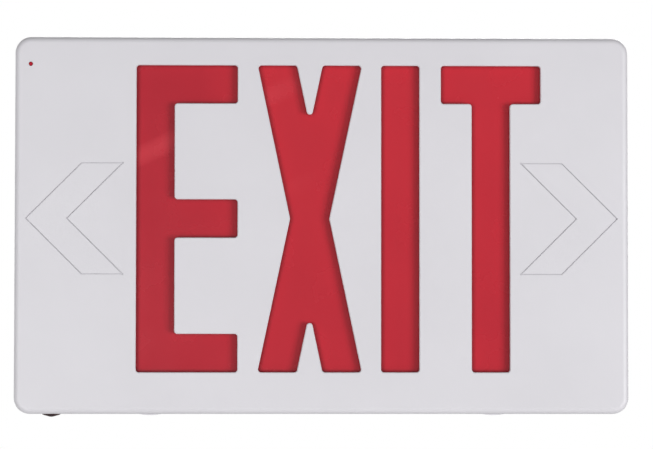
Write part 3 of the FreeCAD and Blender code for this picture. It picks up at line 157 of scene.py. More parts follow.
def moldedWhiteAbs(look):
    # ABS from a spark-eroded mould: cool white, satin, a fine even grain that softens every highlight
    material, tree, shader, place = startMaterial("moldedWhiteAbs", {"IOR": 1.53, "Metallic": 0.0})
    tone = toneField(tree, shader, place, look["darkHex"], look["lightHex"], look["toneMm"])
    # painted shade darkens the scored lines and the seams, where the occlusion node finds walls close by
    crease = addNode(tree, "ShaderNodeAmbientOcclusion", {
        "samples": look["samples"], "only_local": True, "Distance": look["creaseMm"] * millimetre})
    share = addNode(tree, "ShaderNodeMapRange", {
        "From Min": look["openShare"], "From Max": look["shutShare"]}, {"Value": crease.outputs["AO"]})
    creaseShaded = addNode(tree, "ShaderNodeMixRGB", {"Color2": linearColor(look["creaseShadeHex"])},
                    {"Fac": share.outputs["Result"], "Color1": tone.outputs["Color"]})
    tree.links.new(creaseShaded.outputs["Color"], shader.inputs["Base Color"])
    roughnessField(tree, shader, place, look["glossLow"], look["glossHigh"], look["glossMm"])
    surfaceGrain(tree, shader, place, look["grainMm"], look["grainDepthMm"])
    return material


# X and Z here are metres from the middle of the sign
acrylicLook = {
    "darkHex": "#b31b2d", "lightHex": "#c32433", "sheen": 0.3,
    "glossLow": 0.2, "glossHigh": 0.3, "glossMm": 18,
    "rippleMm": 40, "rippleDepthMm": 0.15, "rippleStrength": 0.6, "rippleDetail": 1.0,
    "paleFromX": -0.06, "paleToX": -0.03, "paleFromZ": -0.05, "paleToZ": 0.07, "paleLeast": 0.5,
    "streakMm": 34, "streakShare": 0.16, "streakWander": 3.0, "streakDetail": 1.0,
    "glintHex": "#cf3a46", "glintMm": 46, "glintDegrees": 25, "glintShare": 0.6, "glintFrom": 0.86,
    "glintWander": 0.6, "glintEndX": 0.0, "glintFullX": -0.03, "glintEndZ": 0.01, "glintFullZ": 0.03,
    "footShadeHex": "#7d1420", "footMm": 2.6, "footShare": 0.8, "footOpen": 0.95, "footShut": 0.45, "samples": 8}


def tintedRedAcrylic(look):
    # cast acrylic tinted red: deep even colour under a slightly wavy gloss; the colour is a little paler
    # towards the top right, and faint slanting streaks of painted reflection lighten it
    material, tree, shader, place = startMaterial("tintedRedAcrylic", {
        "IOR": 1.49, "Specular IOR Level": look["sheen"]})
    # a plain ramp: the colour is paler towards the top right, darker to the left and the bottom
    split = addNode(tree, "ShaderNodeSeparateXYZ", links={"Vector": place})
    across = addNode(tree, "ShaderNodeMapRange", {"From Min": look["paleFromX"], "From Max": look["paleToX"]},
                     {"Value": split.outputs["X"]})
    upward = addNode(tree, "ShaderNodeMapRange", {
        "From Min": look["paleFromZ"], "From Max": look["paleToZ"],
        "To Min": look["paleLeast"], "To Max": 1.0}, {"Value": split.outputs["Z"]})
    pale = addNode(tree, "ShaderNodeMath", {"operation": "MULTIPLY"},
                   {0: across.outputs[0], 1: upward.outputs[0]})
    # painted reflection: faint slanting streaks that lighten the colour
    paintedStreaks = addNode(tree, "ShaderNodeTexWave", {
        "bands_direction": "DIAGONAL", "Scale": waveScale(look["streakMm"]),
        "Distortion": look["streakWander"], "Detail": look["streakDetail"]}, {"Vector": place})
    tone = addNode(tree, "ShaderNodeMath", {"operation": "MULTIPLY_ADD", 1: look["streakShare"]},
                   {0: paintedStreaks.outputs["Fac"], 2: pale.outputs[0]})
    ramp = addNode(tree, "ShaderNodeValToRGB", links={"Fac": tone.outputs[0]})
    ramp.color_ramp.elements[0].position = look["streakShare"] / 2
    ramp.color_ramp.elements[0].color = linearColor(look["darkHex"])
    ramp.color_ramp.elements[1].color = linearColor(look["lightHex"])
    # a few narrow slanting glints, which fade out away from the top left
    slant = addNode(tree, "ShaderNodeMapping", {"Rotation": (0, math.radians(look["glintDegrees"]), 0)},
                    {"Vector": place})
    lines = addNode(tree, "ShaderNodeTexWave", {
        "bands_direction": "Z", "Scale": waveScale(look["glintMm"]), "Distortion": look["glintWander"]},
        {"Vector": slant.outputs["Vector"]})
    narrow = addNode(tree, "ShaderNodeMapRange", {
        "From Min": look["glintFrom"], "From Max": 1.0, "To Max": look["glintShare"]},
        {"Value": lines.outputs["Fac"]})
    leftSide = addNode(tree, "ShaderNodeMapRange", {
        "From Min": look["glintEndX"], "From Max": look["glintFullX"]}, {"Value": split.outputs["X"]})
    topSide = addNode(tree, "ShaderNodeMapRange", {
        "From Min": look["glintEndZ"], "From Max": look["glintFullZ"]}, {"Value": split.outputs["Z"]})
    where = addNode(tree, "ShaderNodeMath", {"operation": "MULTIPLY"},
                    {0: leftSide.outputs[0], 1: topSide.outputs[0]})
    glint = addNode(tree, "ShaderNodeMath", {"operation": "MULTIPLY"},
                    {0: narrow.outputs[0], 1: where.outputs[0]})
    glinting = addNode(tree, "ShaderNodeMixRGB", {"Color2": linearColor(look["glintHex"])},
                       {"Fac": glint.outputs[0], "Color1": ramp.outputs["Color"]})
    # painted shade: the sheet darkens where it meets the walls of the legend
    foot = addNode(tree, "ShaderNodeAmbientOcclusion", {
        "samples": look["samples"], "Distance": look["footMm"] * millimetre})
    shade = addNode(tree, "ShaderNodeMapRange", {
        "From Min": look["footOpen"], "From Max": look["footShut"], "To Max": look["footShare"]},
        {"Value": foot.outputs["AO"]})
    footShaded = addNode(tree, "ShaderNodeMixRGB", {"Color2": linearColor(look["footShadeHex"])},
                    {"Fac": shade.outputs[0], "Color1": glinting.outputs["Color"]})
    tree.links.new(footShaded.outputs["Color"], shader.inputs["Base Color"])
    roughnessField(tree, shader, place, look["glossLow"], look["glossHigh"], look["glossMm"])
    surfaceGrain(tree, shader, place, look["rippleMm"], look["rippleDepthMm"], look["rippleStrength"],
                 look["rippleDetail"])
    return material


def coatedPart(name, look):
    # two close tones, gloss that varies where the look says so, and a fine grain
    material, tree, shader, place = startMaterial(name, look["shader"])
    toneField(tree, shader, place, look["darkHex"], look["lightHex"], look["toneMm"])
    if "glossMm" in look:
        roughnessField(tree, shader, place, look["glossLow"], look["glossHigh"], look["glossMm"])
    surfaceGrain(tree, shader, place, look["grainMm"], look["grainDepthMm"])
    return material


# white baked enamel on steel sheet: bright, glossy, with a faint orange peel
enamelLook = {"shader": {"IOR": 1.5, "Metallic": 0.0}, "darkHex": "#e4e4e2", "lightHex": "#ececea",
              "toneMm": 45, "glossLow": 0.2, "glossHigh": 0.3, "glossMm": 12, "grainMm": 1.6,
              "grainDepthMm": 0.02}

# white moulded lamp case with a warm phosphor gel: creamy and glossy
lampCaseLook = {"shader": {"IOR": 1.5, "Roughness": 0.25}, "darkHex": "#e8e2b4", "lightHex": "#f0eede",
                "toneMm": 3, "grainMm": 0.8, "grainDepthMm": 0.01}

# bright zinc on steel: pale metal with a faint blue to straw drift and soft tumbling marks
zincLook = {"shader": {"Metallic": 1.0}, "darkHex": "#b9bec6", "lightHex": "#cfcdc2", "toneMm": 2.5,
            "glossLow": 0.24, "glossHigh": 0.4, "glossMm": 0.8, "grainMm": 0.3, "grainDepthMm": 0.006}

# clear polystyrene with a dark red dye, its colour set almost black, which paints in the shade the button
# sits in under the case; its sheen is held down, or the button's low cone would mirror the pale floor
polystyreneLook = {"shader": {"IOR": 1.59, "Specular IOR Level": 0.01}, "darkHex": "#240507",
                   "lightHex": "#380b0f", "toneMm": 5, "glossLow": 0.2, "glossHigh": 0.3, "glossMm": 3,
                   "grainMm": 0.8, "grainDepthMm": 0.004}

boardLook = {"oneHex": "#cfd2cb", "otherHex": "#d8dbd4", "gapHex": "#b9bfb4", "laneMm": 10, "gap": 0.06,
             "depthMm": 0.03, "strength": 0.6, "roughness": 0.38}


def solderMaskBoard(look):
    # glass epoxy board under white solder mask: satin, the copper tracks show as faint raised lanes
    material, tree, shader, place = startMaterial("solderMaskBoard", {
        "IOR": 1.52, "Roughness": look["roughness"]})
    turn = addNode(tree, "ShaderNodeMapping", {"Rotation": (math.radians(90), 0, 0)}, {"Vector": place})
    lanes = addNode(tree, "ShaderNodeTexBrick", {
        "Scale": patternScale(look["laneMm"]), "Mortar Size": look["gap"],
        "Color1": linearColor(look["oneHex"]), "Color2": linearColor(look["otherHex"]),
        "Mortar": linearColor(look["gapHex"])}, {"Vector": turn.outputs["Vector"]})
    tree.links.new(lanes.outputs["Color"], shader.inputs["Base Color"])
    bump = addNode(tree, "ShaderNodeBump", {
        "Strength": look["strength"], "Distance": look["depthMm"] * millimetre, "invert": True},
        {"Height": lanes.outputs["Fac"]})
    tree.links.new(bump.outputs["Normal"], shader.inputs["Normal"])
    return material


springSteelLook = {"darkHex": "#9a9ca0", "lightHex": "#b4b5b8", "lineMm": 0.5, "stretch": 0.05,
                   "glossLow": 0.28, "glossHigh": 0.42, "glossMm": 3, "grainMm": 0.2, "grainDepthMm": 0.004}


def springSteel(look):
    # cold rolled spring steel: grey, with rolling lines along its length, drawn coarser than real ones
    material, tree, shader, place = startMaterial("springSteel", {"Metallic": 1.0})
    drawn = addNode(tree, "ShaderNodeMapping", {"Scale": (1, 1, look["stretch"])}, {"Vector": place})
    toneField(tree, shader, drawn.outputs["Vector"], look["darkHex"], look["lightHex"], look["lineMm"])
    roughnessField(tree, shader, place, look["glossLow"], look["glossHigh"], look["glossMm"])
    surfaceGrain(tree, shader, drawn.outputs["Vector"], look["grainMm"], look["grainDepthMm"])
    return material


coreLook = {"darkHex": "#3c3f42", "lightHex": "#686c70", "plateMm": 0.5, "wander": 0.4, "depthMm": 0.05,
            "strength": 0.8, "metallic": 0.7, "roughness": 0.45}


def laminatedCore(look):
    # varnished silicon steel plates: dark grey, every plate's edge a fine line
    material, tree, shader, place = startMaterial("laminatedCore", {
        "Metallic": look["metallic"], "Roughness": look["roughness"]})
    plates = addNode(tree, "ShaderNodeTexWave", {
        "bands_direction": "X", "Scale": waveScale(look["plateMm"]), "Distortion": look["wander"]},
        {"Vector": place})
    ramp = addNode(tree, "ShaderNodeValToRGB", links={"Fac": plates.outputs["Fac"]})
    ramp.color_ramp.elements[0].color = linearColor(look["darkHex"])
    ramp.color_ramp.elements[1].color = linearColor(look["lightHex"])
    tree.links.new(ramp.outputs["Color"], shader.inputs["Base Color"])
    bump = addNode(tree, "ShaderNodeBump", {
        "Strength": look["strength"], "Distance": look["depthMm"] * millimetre},
        {"Height": plates.outputs["Fac"]})
    tree.links.new(bump.outputs["Normal"], shader.inputs["Normal"])
    return material


windingLook = {"darkHex": "#b07a2c", "lightHex": "#c8923c", "toneMm": 4, "turnMm": 0.6, "wander": 1.0,
               "depthMm": 0.05, "strength": 0.5, "roughness": 0.22}


def tapedWinding(look):
    # copper wire under amber polyester tape: glossy, the turns show as ridges, drawn coarser than real ones
    material, tree, shader, place = startMaterial("tapedWinding", {
        "IOR": 1.55, "Roughness": look["roughness"]})
    toneField(tree, shader, place, look["darkHex"], look["lightHex"], look["toneMm"])
    turns = addNode(tree, "ShaderNodeTexWave", {
        "bands_direction": "Y", "Scale": waveScale(look["turnMm"]), "Distortion": look["wander"]},
        {"Vector": place})
    bump = addNode(tree, "ShaderNodeBump", {
        "Strength": look["strength"], "Distance": look["depthMm"] * millimetre},
        {"Height": turns.outputs["Fac"]})
    tree.links.new(bump.outputs["Normal"], shader.inputs["Normal"])
    return material


moldedLook = {"toneMm": 6, "glossMm": 4, "glossSpread": 0.15}


def moldedPart(look):
    # a small moulded or dipped part: even colour, its own gloss and a fine grain
    material, tree, shader, place = startMaterial(look["name"], {"IOR": look["ior"]})
    toneField(tree, shader, place, look["darkHex"], look["lightHex"], moldedLook["toneMm"])
    spread = look["roughness"] * moldedLook["glossSpread"]
    roughnessField(tree, shader, place, look["roughness"] - spread, look["roughness"] + spread,
                   moldedLook["glossMm"])
    surfaceGrain(tree, shader, place, look["grainMm"], look["grainDepthMm"])
    return material


moldedLooks = {
    # glass-filled nylon is dull black with a dry, fibrous grain
    "black_nylon": {"name": "blackNylon", "darkHex": "#222222", "lightHex": "#2b2b2b", "roughness": 0.5,
                    "ior": 1.53, "grainMm": 0.5, "grainDepthMm": 0.015},
    # transfer-moulded epoxy is charcoal and slightly chalky
    "black_epoxy": {"name": "moldedEpoxy", "darkHex": "#28282a", "lightHex": "#323234", "roughness": 0.55,
                    "ior": 1.55, "grainMm": 0.3, "grainDepthMm": 0.01},
    # shrink sleeve is smooth, dark and glossy, with faint slack ripples
    "capacitor_sleeve": {"name": "capacitorSleeve", "darkHex": "#262c40", "lightHex": "#30374d",
                         "roughness": 0.25, "ior": 1.5, "grainMm": 1.5, "grainDepthMm": 0.02},
    # dipped lacquer on a resistor is blue grey with a soft gloss
    "resistor_coat": {"name": "dippedLacquer", "darkHex": "#8fa6b0", "lightHex": "#9fb4bd",
                      "roughness": 0.35, "ior": 1.5, "grainMm": 0.8, "grainDepthMm": 0.02},
    # dyed nylon is an even green with a soft satin
    "green_nylon": {"name": "greenNylon", "darkHex": "#2f7d4a", "lightHex": "#38894f", "roughness": 0.42,
                    "ior": 1.53, "grainMm": 0.5, "grainDepthMm": 0.012},
    # natural nylon is milky, off-white and waxy
    "white_nylon": {"name": "naturalNylon", "darkHex": "#e2dfd2", "lightHex": "#ebe8dd", "roughness": 0.4,
                    "ior": 1.53, "grainMm": 0.6, "grainDepthMm": 0.012},
    # printed film over cells is glossy blue with slack ripples
    "battery_film": {"name": "shrinkFilm", "darkHex": "#24468c", "lightHex": "#2c52a0", "roughness": 0.22,
                     "ior": 1.5, "grainMm": 5.0, "grainDepthMm": 0.12},
    # extruded soft PVC is even in colour with a waxy gloss
    "red_wire": {"name": "redPvc", "darkHex": "#b4201f", "lightHex": "#c22826", "roughness": 0.35,
                 "ior": 1.53, "grainMm": 0.8, "grainDepthMm": 0.01},
    "black_wire": {"name": "blackPvc", "darkHex": "#1c1c1d", "lightHex": "#262627", "roughness": 0.38,
                   "ior": 1.53, "grainMm": 0.8, "grainDepthMm": 0.01},
}

lensLook = {"glowCoreHex": "#b9142c", "shadedEdgeHex": "#7c0e1e", "coreMm": 0.6, "edgeMm": 1.0, "sheen": 0.1,
            "roughness": 0.12}


def lampLens(look):
    # red dyed light pipe: clear gloss, a painted glow in the core and painted shade at the edge where the rod
    # is seen through its side
    material, tree, shader, place = startMaterial("lampLens", {
        "IOR": 1.59, "Roughness": look["roughness"], "Specular IOR Level": look["sheen"]})
    low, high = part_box("indicator_light_pipe")
    offset = addNode(tree, "ShaderNodeVectorMath", {"operation": "SUBTRACT", 1: tuple((low + high) / 2)},
                     {0: place})
    flat = addNode(tree, "ShaderNodeVectorMath", {"operation": "MULTIPLY", 1: (1, 0, 1)},
                   {0: offset.outputs[0]})
    reach = addNode(tree, "ShaderNodeVectorMath", {"operation": "LENGTH"}, {0: flat.outputs[0]})
    share = addNode(tree, "ShaderNodeMapRange", {
        "From Min": look["coreMm"] * millimetre, "From Max": look["edgeMm"] * millimetre},
        {"Value": reach.outputs["Value"]})
    ramp = addNode(tree, "ShaderNodeValToRGB", links={"Fac": share.outputs[0]})
    ramp.color_ramp.elements[0].color = linearColor(look["glowCoreHex"])
    ramp.color_ramp.elements[1].color = linearColor(look["shadedEdgeHex"])
    tree.links.new(ramp.outputs["Color"], shader.inputs["Base Color"])
    return material


slotMaterials = {
    "cover_abs": moldedWhiteAbs(absLook),
    "red_acrylic": tintedRedAcrylic(acrylicLook),
    "white_steel": coatedPart("enamelledSteel", enamelLook),
    "circuit_board": solderMaskBoard(boardLook),
    "lamp_case": coatedPart("lampCase", lampCaseLook),
    "zinc_screw": coatedPart("zincPlate", zincLook),
    "spring_steel": springSteel(springSteelLook),
    "core_steel": laminatedCore(coreLook),
    "enamelled_copper": tapedWinding(windingLook),
    "red_button": coatedPart("tintedPolystyrene", polystyreneLook),
    "red_lamp": lampLens(lensLook),
}
for slot, look in moldedLooks.items():
    slotMaterials[slot] = moldedPart(look)
slotMaterials["housing_abs"] = slotMaterials["cover_abs"]
for part in frame["record"]["subparts"]:
    shown = nodes[part["node"]].data.materials
    shown.clear()
    shown.append(slotMaterials[part["material_slot"]])
print("stage: materials done,", len(slotMaterials), "finishes")


def addRings(sheet, rings, sides, matrix):
    # skin over rings stacked along Z; a ring is (height, radius) in mm, and the radius may be a function of
    # the turn
    loops = []
    for height, radius in rings:
        if radius == 0:
            loops.append([sheet.verts.new(matrix @ Vector((0, 0, height * millimetre)))])
            continue
        loop = []
        for i in range(sides):
            turn = i / sides
            reach = (radius(turn) if callable(radius) else radius) * millimetre
            angle = turn * math.tau
            point = Vector((reach * math.cos(angle), reach * math.sin(angle), height * millimetre))
            loop.append(sheet.verts.new(matrix @ point))
        loops.append(loop)
    for first, second in zip(loops, loops[1:]):
        for i in range(sides):
            corners = [first[i % len(first)], first[(i + 1) % len(first)],
                       second[(i + 1) % len(second)], second[i % len(second)]]
            sheet.faces.new(list(dict.fromkeys(corners)))


def finishPiece(name, sheet, node, sharpDegrees):
    # the mesh becomes a piece that stands for its CAD node, with that node's finish and body
    bmesh.ops.recalc_face_normals(sheet, faces=sheet.faces)
    mesh = bpy.data.meshes.new(name)
    sheet.to_mesh(mesh)
    sheet.free()
    mesh.shade_smooth()
    mesh.set_sharp_from_angle(angle=math.radians(sharpDegrees))
    piece = bpy.data.objects.new(name, mesh)
    bpy.context.collection.objects.link(piece)
    part = next(part for part in frame["record"]["subparts"] if part["node"] == node)
    mesh.materials.append(slotMaterials[part["material_slot"]])
    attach(piece, "button" if node == "test_button" else "root")
    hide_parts(node)
    return piece


buttonLook = {"sides": 64, "tipRadius": 1.0, "coneRadius": 3.95, "coneHeight": 0.85, "shoulderHeight": 1.7,
              "guideRadius": 4.8, "flangeLow": 5.4, "flangeHigh": 6.55, "edge": 0.25, "stemRadius": 2.2,
              "tipEdge": 0.15, "tipRise": 0.05, "shoulderRise": 0.35, "shoulderStep": 0.2, "sharpDegrees": 20}


def buildTestButton(look):
    # low cone with a flat tip below the case, a guide, a stop flange inside and a stem over the plunger
    low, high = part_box("test_button")
    plungerLow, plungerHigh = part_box("switch_plunger")
    top = (high.z - low.z) / millimetre
    flange = (high.x - low.x) / 2 / millimetre
    socketRadius = (plungerHigh.x - plungerLow.x) / 2 / millimetre
    socketFloor = (plungerLow.z - low.z) / millimetre
    edge, stem, guide = look["edge"], look["stemRadius"], look["guideRadius"]
    rings = [
        (0, 0), (0, look["tipRadius"] - look["tipEdge"]), (look["tipRise"], look["tipRadius"]),
        (look["coneHeight"], look["coneRadius"]),
        (look["coneHeight"] + look["shoulderRise"], guide - look["shoulderStep"]),
        (look["shoulderHeight"], guide), (look["flangeLow"], guide), (look["flangeLow"], flange - edge),
        (look["flangeLow"] + edge, flange), (look["flangeHigh"] - edge, flange),
        (look["flangeHigh"], flange - edge), (look["flangeHigh"], stem),
        (top - edge, stem), (top, stem - edge), (top, socketRadius), (socketFloor, socketRadius),
        (socketFloor, 0)]
    sheet = bmesh.new()
    middle = (low + high) / 2
    addRings(sheet, rings, look["sides"], Matrix.Translation((middle.x, middle.y, low.z)))
    finishPiece("testButton", sheet, "test_button", look["sharpDegrees"])


springLook = {"wireRadius": 0.25, "turns": 5.5, "closedTurns": 0.8, "wireSides": 12, "stepsInTurn": 28,
              "sharpDegrees": 60}


def buildButtonSpring(look):
    # round wire coil with closed ends, between the button's flange and the switch
    low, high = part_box("button_spring")
    wire = look["wireRadius"] * millimetre
    reach = (high.x - low.x) / 2 - wire
    middle = (low + high) / 2
    closed, turns = look["closedTurns"], look["turns"]
    closedRise = closed * 2 * wire
    openRise = high.z - low.z - 2 * wire - 2 * closedRise
    sheet = bmesh.new()
    loops = []
    steps = int(turns * look["stepsInTurn"])
    for i in range(steps + 1):
        wound = turns * i / steps
        level = min(wound, closed) / closed * closedRise
        level += min(max(wound - closed, 0), turns - 2 * closed) / (turns - 2 * closed) * openRise
        level += max(wound - turns + closed, 0) / closed * closedRise
        around = wound * math.tau
        outward = Vector((math.cos(around), math.sin(around), 0))
        centre = Vector((middle.x, middle.y, low.z + wire + level)) + outward * reach
        loop = []
        for k in range(look["wireSides"]):
            tilt = k / look["wireSides"] * math.tau
            side = outward * math.cos(tilt) + Vector((0, 0, math.sin(tilt)))
            loop.append(sheet.verts.new(centre + wire * side))
        loops.append(loop)
    for first, second in zip(loops, loops[1:]):
        for k in range(look["wireSides"]):
            j = (k + 1) % look["wireSides"]
            sheet.faces.new([first[k], first[j], second[j], second[k]])
    sheet.faces.new(loops[0])
    sheet.faces.new(loops[-1])
    piece = finishPiece("buttonSpring", sheet, "button_spring", look["sharpDegrees"])
    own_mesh(piece)


pipeLook = {"sides": 48, "rodRadius": 1.0, "cupHeight": 4.0, "cupRoom": 3.1, "cupWall": 0.9,
            "cupEdge": 0.3, "rootEdge": 0.2, "domeHeight": 0.25, "domeSteps": 6, "sharpDegrees": 35}


def buildLightPipe(look):
    # turned rod with a domed tip in the face and a cup over the lamp on the board
    low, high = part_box("indicator_light_pipe")
    length = (high.y - low.y) / millimetre
    cup = (high.x - low.x) / 2 / millimetre
    room = cup - look["cupWall"]
    rod = look["rodRadius"]
    cupTop, edge, root = look["cupHeight"], look["cupEdge"], look["rootEdge"]
    rings = [(look["cupRoom"], 0), (look["cupRoom"], room), (0, room), (0, cup), (cupTop - edge, cup),
             (cupTop, cup - edge), (cupTop, rod + root), (cupTop + root, rod)]
    for i in range(look["domeSteps"]):
        tilt = i / look["domeSteps"] * math.pi / 2
        rings.append((length - look["domeHeight"] * (1 - math.sin(tilt)), rod * math.cos(tilt)))
    rings.append((length, 0))
    sheet = bmesh.new()
    middle = (low + high) / 2
    matrix = Matrix.Translation((middle.x, high.y, middle.z)) @ Matrix.Rotation(math.pi / 2, 4, "X")
    addRings(sheet, rings, look["sides"], matrix)
    finishPiece("indicatorLightPipe", sheet, "indicator_light_pipe", look["sharpDegrees"])


screwLook = {"sides": 32, "headRadius": 2.9, "headHeight": 1.7, "shankRadius": 1.5, "pitch": 1.1,
             "threadDepth": 0.32, "stepsInPitch": 6, "tip": 1.8, "tipRadius": 0.25, "slotHalfWidth": 0.42,
             "slotReach": 1.75, "slotDepth": 1.05, "slotTaper": 0.6, "slotOver": 0.5, "threadSlope": 3,
             "headEdge": 0.08, "nearRadii": 2.2, "spinX": 40, "spinZ": 25, "sharpDegrees": 35,
             # the pan head's outline, as shares of its height and radius
             "headCurve": [(1, 0.42), (0.955, 0.66), (0.85, 0.83), (0.67, 0.95), (0.42, 1)]}


def screwSpots(node, look):
    # the middle of each screw in a CAD node that holds several, from the node's own vertices
    groups = []
    near = look["nearRadii"] * look["headRadius"] * millimetre
    for vertex in nodes[node].data.vertices:
        point = nodes[node].matrix_world @ vertex.co
        for group in groups:
            if math.hypot(point.x - group[0].x, point.z - group[0].z) < near:
                group.append(point)
                break
        else:
            groups.append([point])
    spots = []
    for group in groups:
        x = (min(point.x for point in group) + max(point.x for point in group)) / 2
        z = (min(point.z for point in group) + max(point.z for point in group)) / 2
        spots.append((x, z))
    return spots


def buildScrews(name, node, headSide, look):
    # pan head screws with a cross recess and a rolled thread; headSide is 1 where the heads look to the back
    low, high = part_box(node)
    height = look["headHeight"]
    length = (high.y - low.y) / millimetre - height
    seat = high.y - height * millimetre if headSide == 1 else low.y + height * millimetre

    def threadRadius(depth, share):
        # the thread's groove climbs once round for each pitch
        def radius(turn):
            phase = (depth / look["pitch"] + turn) % 1
            groove = max(0.0, 1 - abs(phase - 0.5) * look["threadSlope"])
            return (look["shankRadius"] - look["threadDepth"] * groove) * share
        return radius

    head, edge = look["headRadius"], look["headEdge"]
    rings = [(height, 0)]
    rings += [(height * level, head * width) for level, width in look["headCurve"]]
    rings += [(edge, head), (0, head - edge), (0, look["shankRadius"])]
    steps = int(length / look["pitch"] * look["stepsInPitch"])
    for i in range(1, steps):
        depth = length * i / steps
        share = min(1.0, (length - depth) / look["tip"] + look["tipRadius"] / look["shankRadius"])
        rings.append((-depth, threadRadius(depth, share)))
    rings.append((-length, 0))
    sheet, cutter = bmesh.new(), bmesh.new()
    wide, reach = look["slotHalfWidth"], look["slotReach"]
    corner = [(reach, -wide), (reach, wide), (wide, wide)]
    outline = []
    for quarter in range(4):
        spin = Matrix.Rotation(quarter * math.pi / 2, 3, "Z")
        outline += [spin @ Vector((x, y, 0)) for x, y in corner]
    for x, z in screwSpots(node, look):
        # each screw stops at its own turn, which its place gives
        spin = Matrix.Rotation(x * look["spinX"] + z * look["spinZ"], 4, "Z")
        matrix = Matrix.Translation((x, seat, z)) @ Matrix.Rotation(-headSide * math.pi / 2, 4, "X") @ spin
        addRings(sheet, rings, look["sides"], matrix)
        loops = []
        above, floor = height + look["slotOver"], height - look["slotDepth"]
        for level, share in ((above, 1.0), (floor, look["slotTaper"])):
            loops.append([cutter.verts.new(matrix @ (Vector((p.x * share, p.y * share, level)) * millimetre))
                          for p in outline])
        cutter.faces.new(loops[0])
        cutter.faces.new(loops[1])
        for i in range(len(outline)):
            j = (i + 1) % len(outline)
            cutter.faces.new([loops[0][i], loops[0][j], loops[1][j], loops[1][i]])
    bmesh.ops.recalc_face_normals(cutter, faces=cutter.faces)
    piece = finishPiece(name, sheet, node, look["sharpDegrees"])
    cutterMesh = bpy.data.meshes.new("crossCutter")
    cutter.to_mesh(cutterMesh)
    cutter.free()
    knife = bpy.data.objects.new("crossCutter", cutterMesh)
    bpy.context.collection.objects.link(knife)
    cut = piece.modifiers.new("cross", "BOOLEAN")
    cut.object = knife
    cut.operation = "DIFFERENCE"
    cut.solver = "EXACT"
    shaped = bpy.data.meshes.new_from_object(piece.evaluated_get(bpy.context.evaluated_depsgraph_get()))
    piece.modifiers.clear()
    piece.data = shaped
    bpy.data.objects.remove(knife)


buildTestButton(buttonLook)
buildButtonSpring(springLook)
buildLightPipe(pipeLook)
buildScrews("backPlateScrews", "back_plate_screws", 1, screwLook)
buildScrews("chargerBoardScrews", "charger_board_screws", -1, screwLook)
buildScrews("batteryStrapScrew", "battery_strap_screw", -1, screwLook)
print("stage: button, spring, light pipe and screws done")


cameraLook = {"distance": 1.24, "lens": 132.95, "left": -0.0216, "down": -0.0410,
              "turnDegrees": -1.142, "tiltDegrees": 1.982, "rollDegrees": 0.052}


def placeCamera(look):
    camera = bpy.data.objects.new("camera", bpy.data.cameras.new("camera"))
    bpy.context.collection.objects.link(camera)
    camera.data.lens = look["lens"]
    camera.location = (look["left"], -look["distance"], look["down"])
    camera.rotation_euler = (math.radians(90 + look["tiltDegrees"]), math.radians(-look["rollDegrees"]),
                             math.radians(look["turnDegrees"]))
    bpy.context.scene.camera = camera


lightLooks = {
    # a soft box far to the right and a little low lights the face and leaves a soft shadow in each opening
    "rightBox": {"place": (1.65, -1.7, -0.35), "size": 1.1, "watts": 35.8},
    # a weaker one in front keeps that shadow open
    "frontBox": {"place": (-1.0, -2.1, -0.35), "size": 1.0, "watts": 21.6},
    # a glancing one picks out the left rim and the far wall of each opening
    "leftBox": {"place": (-1.9, -0.35, -0.1), "size": 1.0, "watts": 5.3},
    # the back and the top get enough to be read from behind
    "backBox": {"place": (0.4, 2.0, 1.0), "size": 1.4, "watts": 48.0},
}


def placeLight(name, look):
    lamp = bpy.data.lights.new(name, "AREA")
    lamp.size = look["size"]
    lamp.energy = look["watts"]
    holder = bpy.data.objects.new(name, lamp)
    bpy.context.collection.objects.link(holder)
    holder.location = look["place"]
    holder.rotation_euler = (-Vector(look["place"])).to_track_quat("-Z", "Y").to_euler()


def whiteForCamera(tree):
    # 1 where the camera, a mirror or glass looks straight at the backdrop, else 0
    path = addNode(tree, "ShaderNodeLightPath")
    glossy = addNode(tree, "ShaderNodeMath", {"operation": "MAXIMUM"},
                     {0: path.outputs["Is Camera Ray"], 1: path.outputs["Is Glossy Ray"]})
    return addNode(tree, "ShaderNodeMath", {"operation": "MAXIMUM"},
                   {0: glossy.outputs[0], 1: path.outputs["Is Transmission Ray"]})


worldLook = {"litHex": "#ffffff", "litStrength": 0.07}


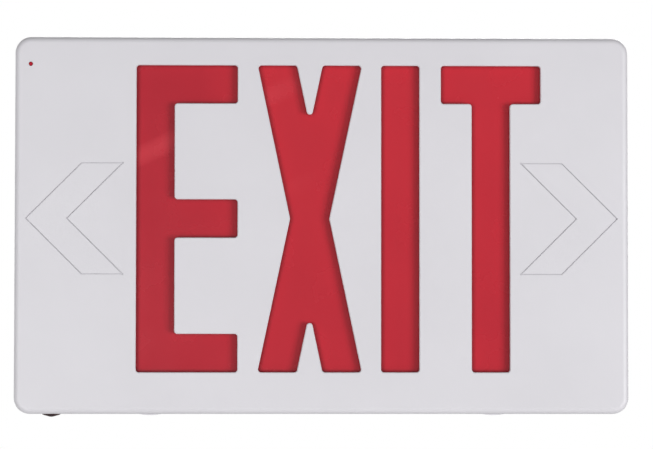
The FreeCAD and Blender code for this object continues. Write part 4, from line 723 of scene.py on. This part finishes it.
def buildWorld(look):
    world = bpy.data.worlds.new("studio")
    bpy.context.scene.world = world
    world.use_nodes = True
    tree = world.node_tree
    tree.nodes.clear()
    seen = whiteForCamera(tree)
    lit = addNode(tree, "ShaderNodeBackground", {
        "Color": linearColor(look["litHex"]), "Strength": look["litStrength"]})
    white = addNode(tree, "ShaderNodeBackground", {"Color": linearColor("#ffffff"), "Strength": 1.0})
    mix = addNode(tree, "ShaderNodeMixShader", links={
        0: seen.outputs[0], 1: lit.outputs[0], 2: white.outputs[0]})
    addNode(tree, "ShaderNodeOutputWorld", links={"Surface": mix.outputs[0]})


floorLook = {"drop": 1.0, "size": 12.0, "hex": "#a8a8a8", "glow": 0.93}


def buildFloor(look):
    # a pale floor some way below the sign: white to the camera, and it keeps the soft shadow
    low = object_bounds()[0][2] - look["drop"]
    half = look["size"] / 2
    mesh = bpy.data.meshes.new("floor")
    mesh.from_pydata([(-half, -half, low), (half, -half, low), (half, half, low), (-half, half, low)], [],
                     [(0, 1, 2, 3)])
    floor = bpy.data.objects.new("floor", mesh)
    bpy.context.collection.objects.link(floor)
    material = bpy.data.materials.new("paleFloor")
    material.use_nodes = True
    tree = material.node_tree
    tree.nodes.clear()
    seen = whiteForCamera(tree)
    share = addNode(tree, "ShaderNodeMath", {"operation": "MULTIPLY", 1: look["glow"]}, {0: seen.outputs[0]})
    matt = addNode(tree, "ShaderNodeBsdfDiffuse", {"Color": linearColor(look["hex"])})
    glow = addNode(tree, "ShaderNodeEmission", {"Color": linearColor("#ffffff"), "Strength": 1.0})
    mix = addNode(tree, "ShaderNodeMixShader", links={
        0: share.outputs[0], 1: matt.outputs[0], 2: glow.outputs[0]})
    addNode(tree, "ShaderNodeOutputMaterial", links={"Surface": mix.outputs[0]})
    mesh.materials.append(material)
    floor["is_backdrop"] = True


placeCamera(cameraLook)
for name, look in lightLooks.items():
    placeLight(name, look)
buildWorld(worldLook)
buildFloor(floorLook)
bpy.context.scene.view_settings.view_transform = "Standard"
print("stage: camera, lights and floor done")
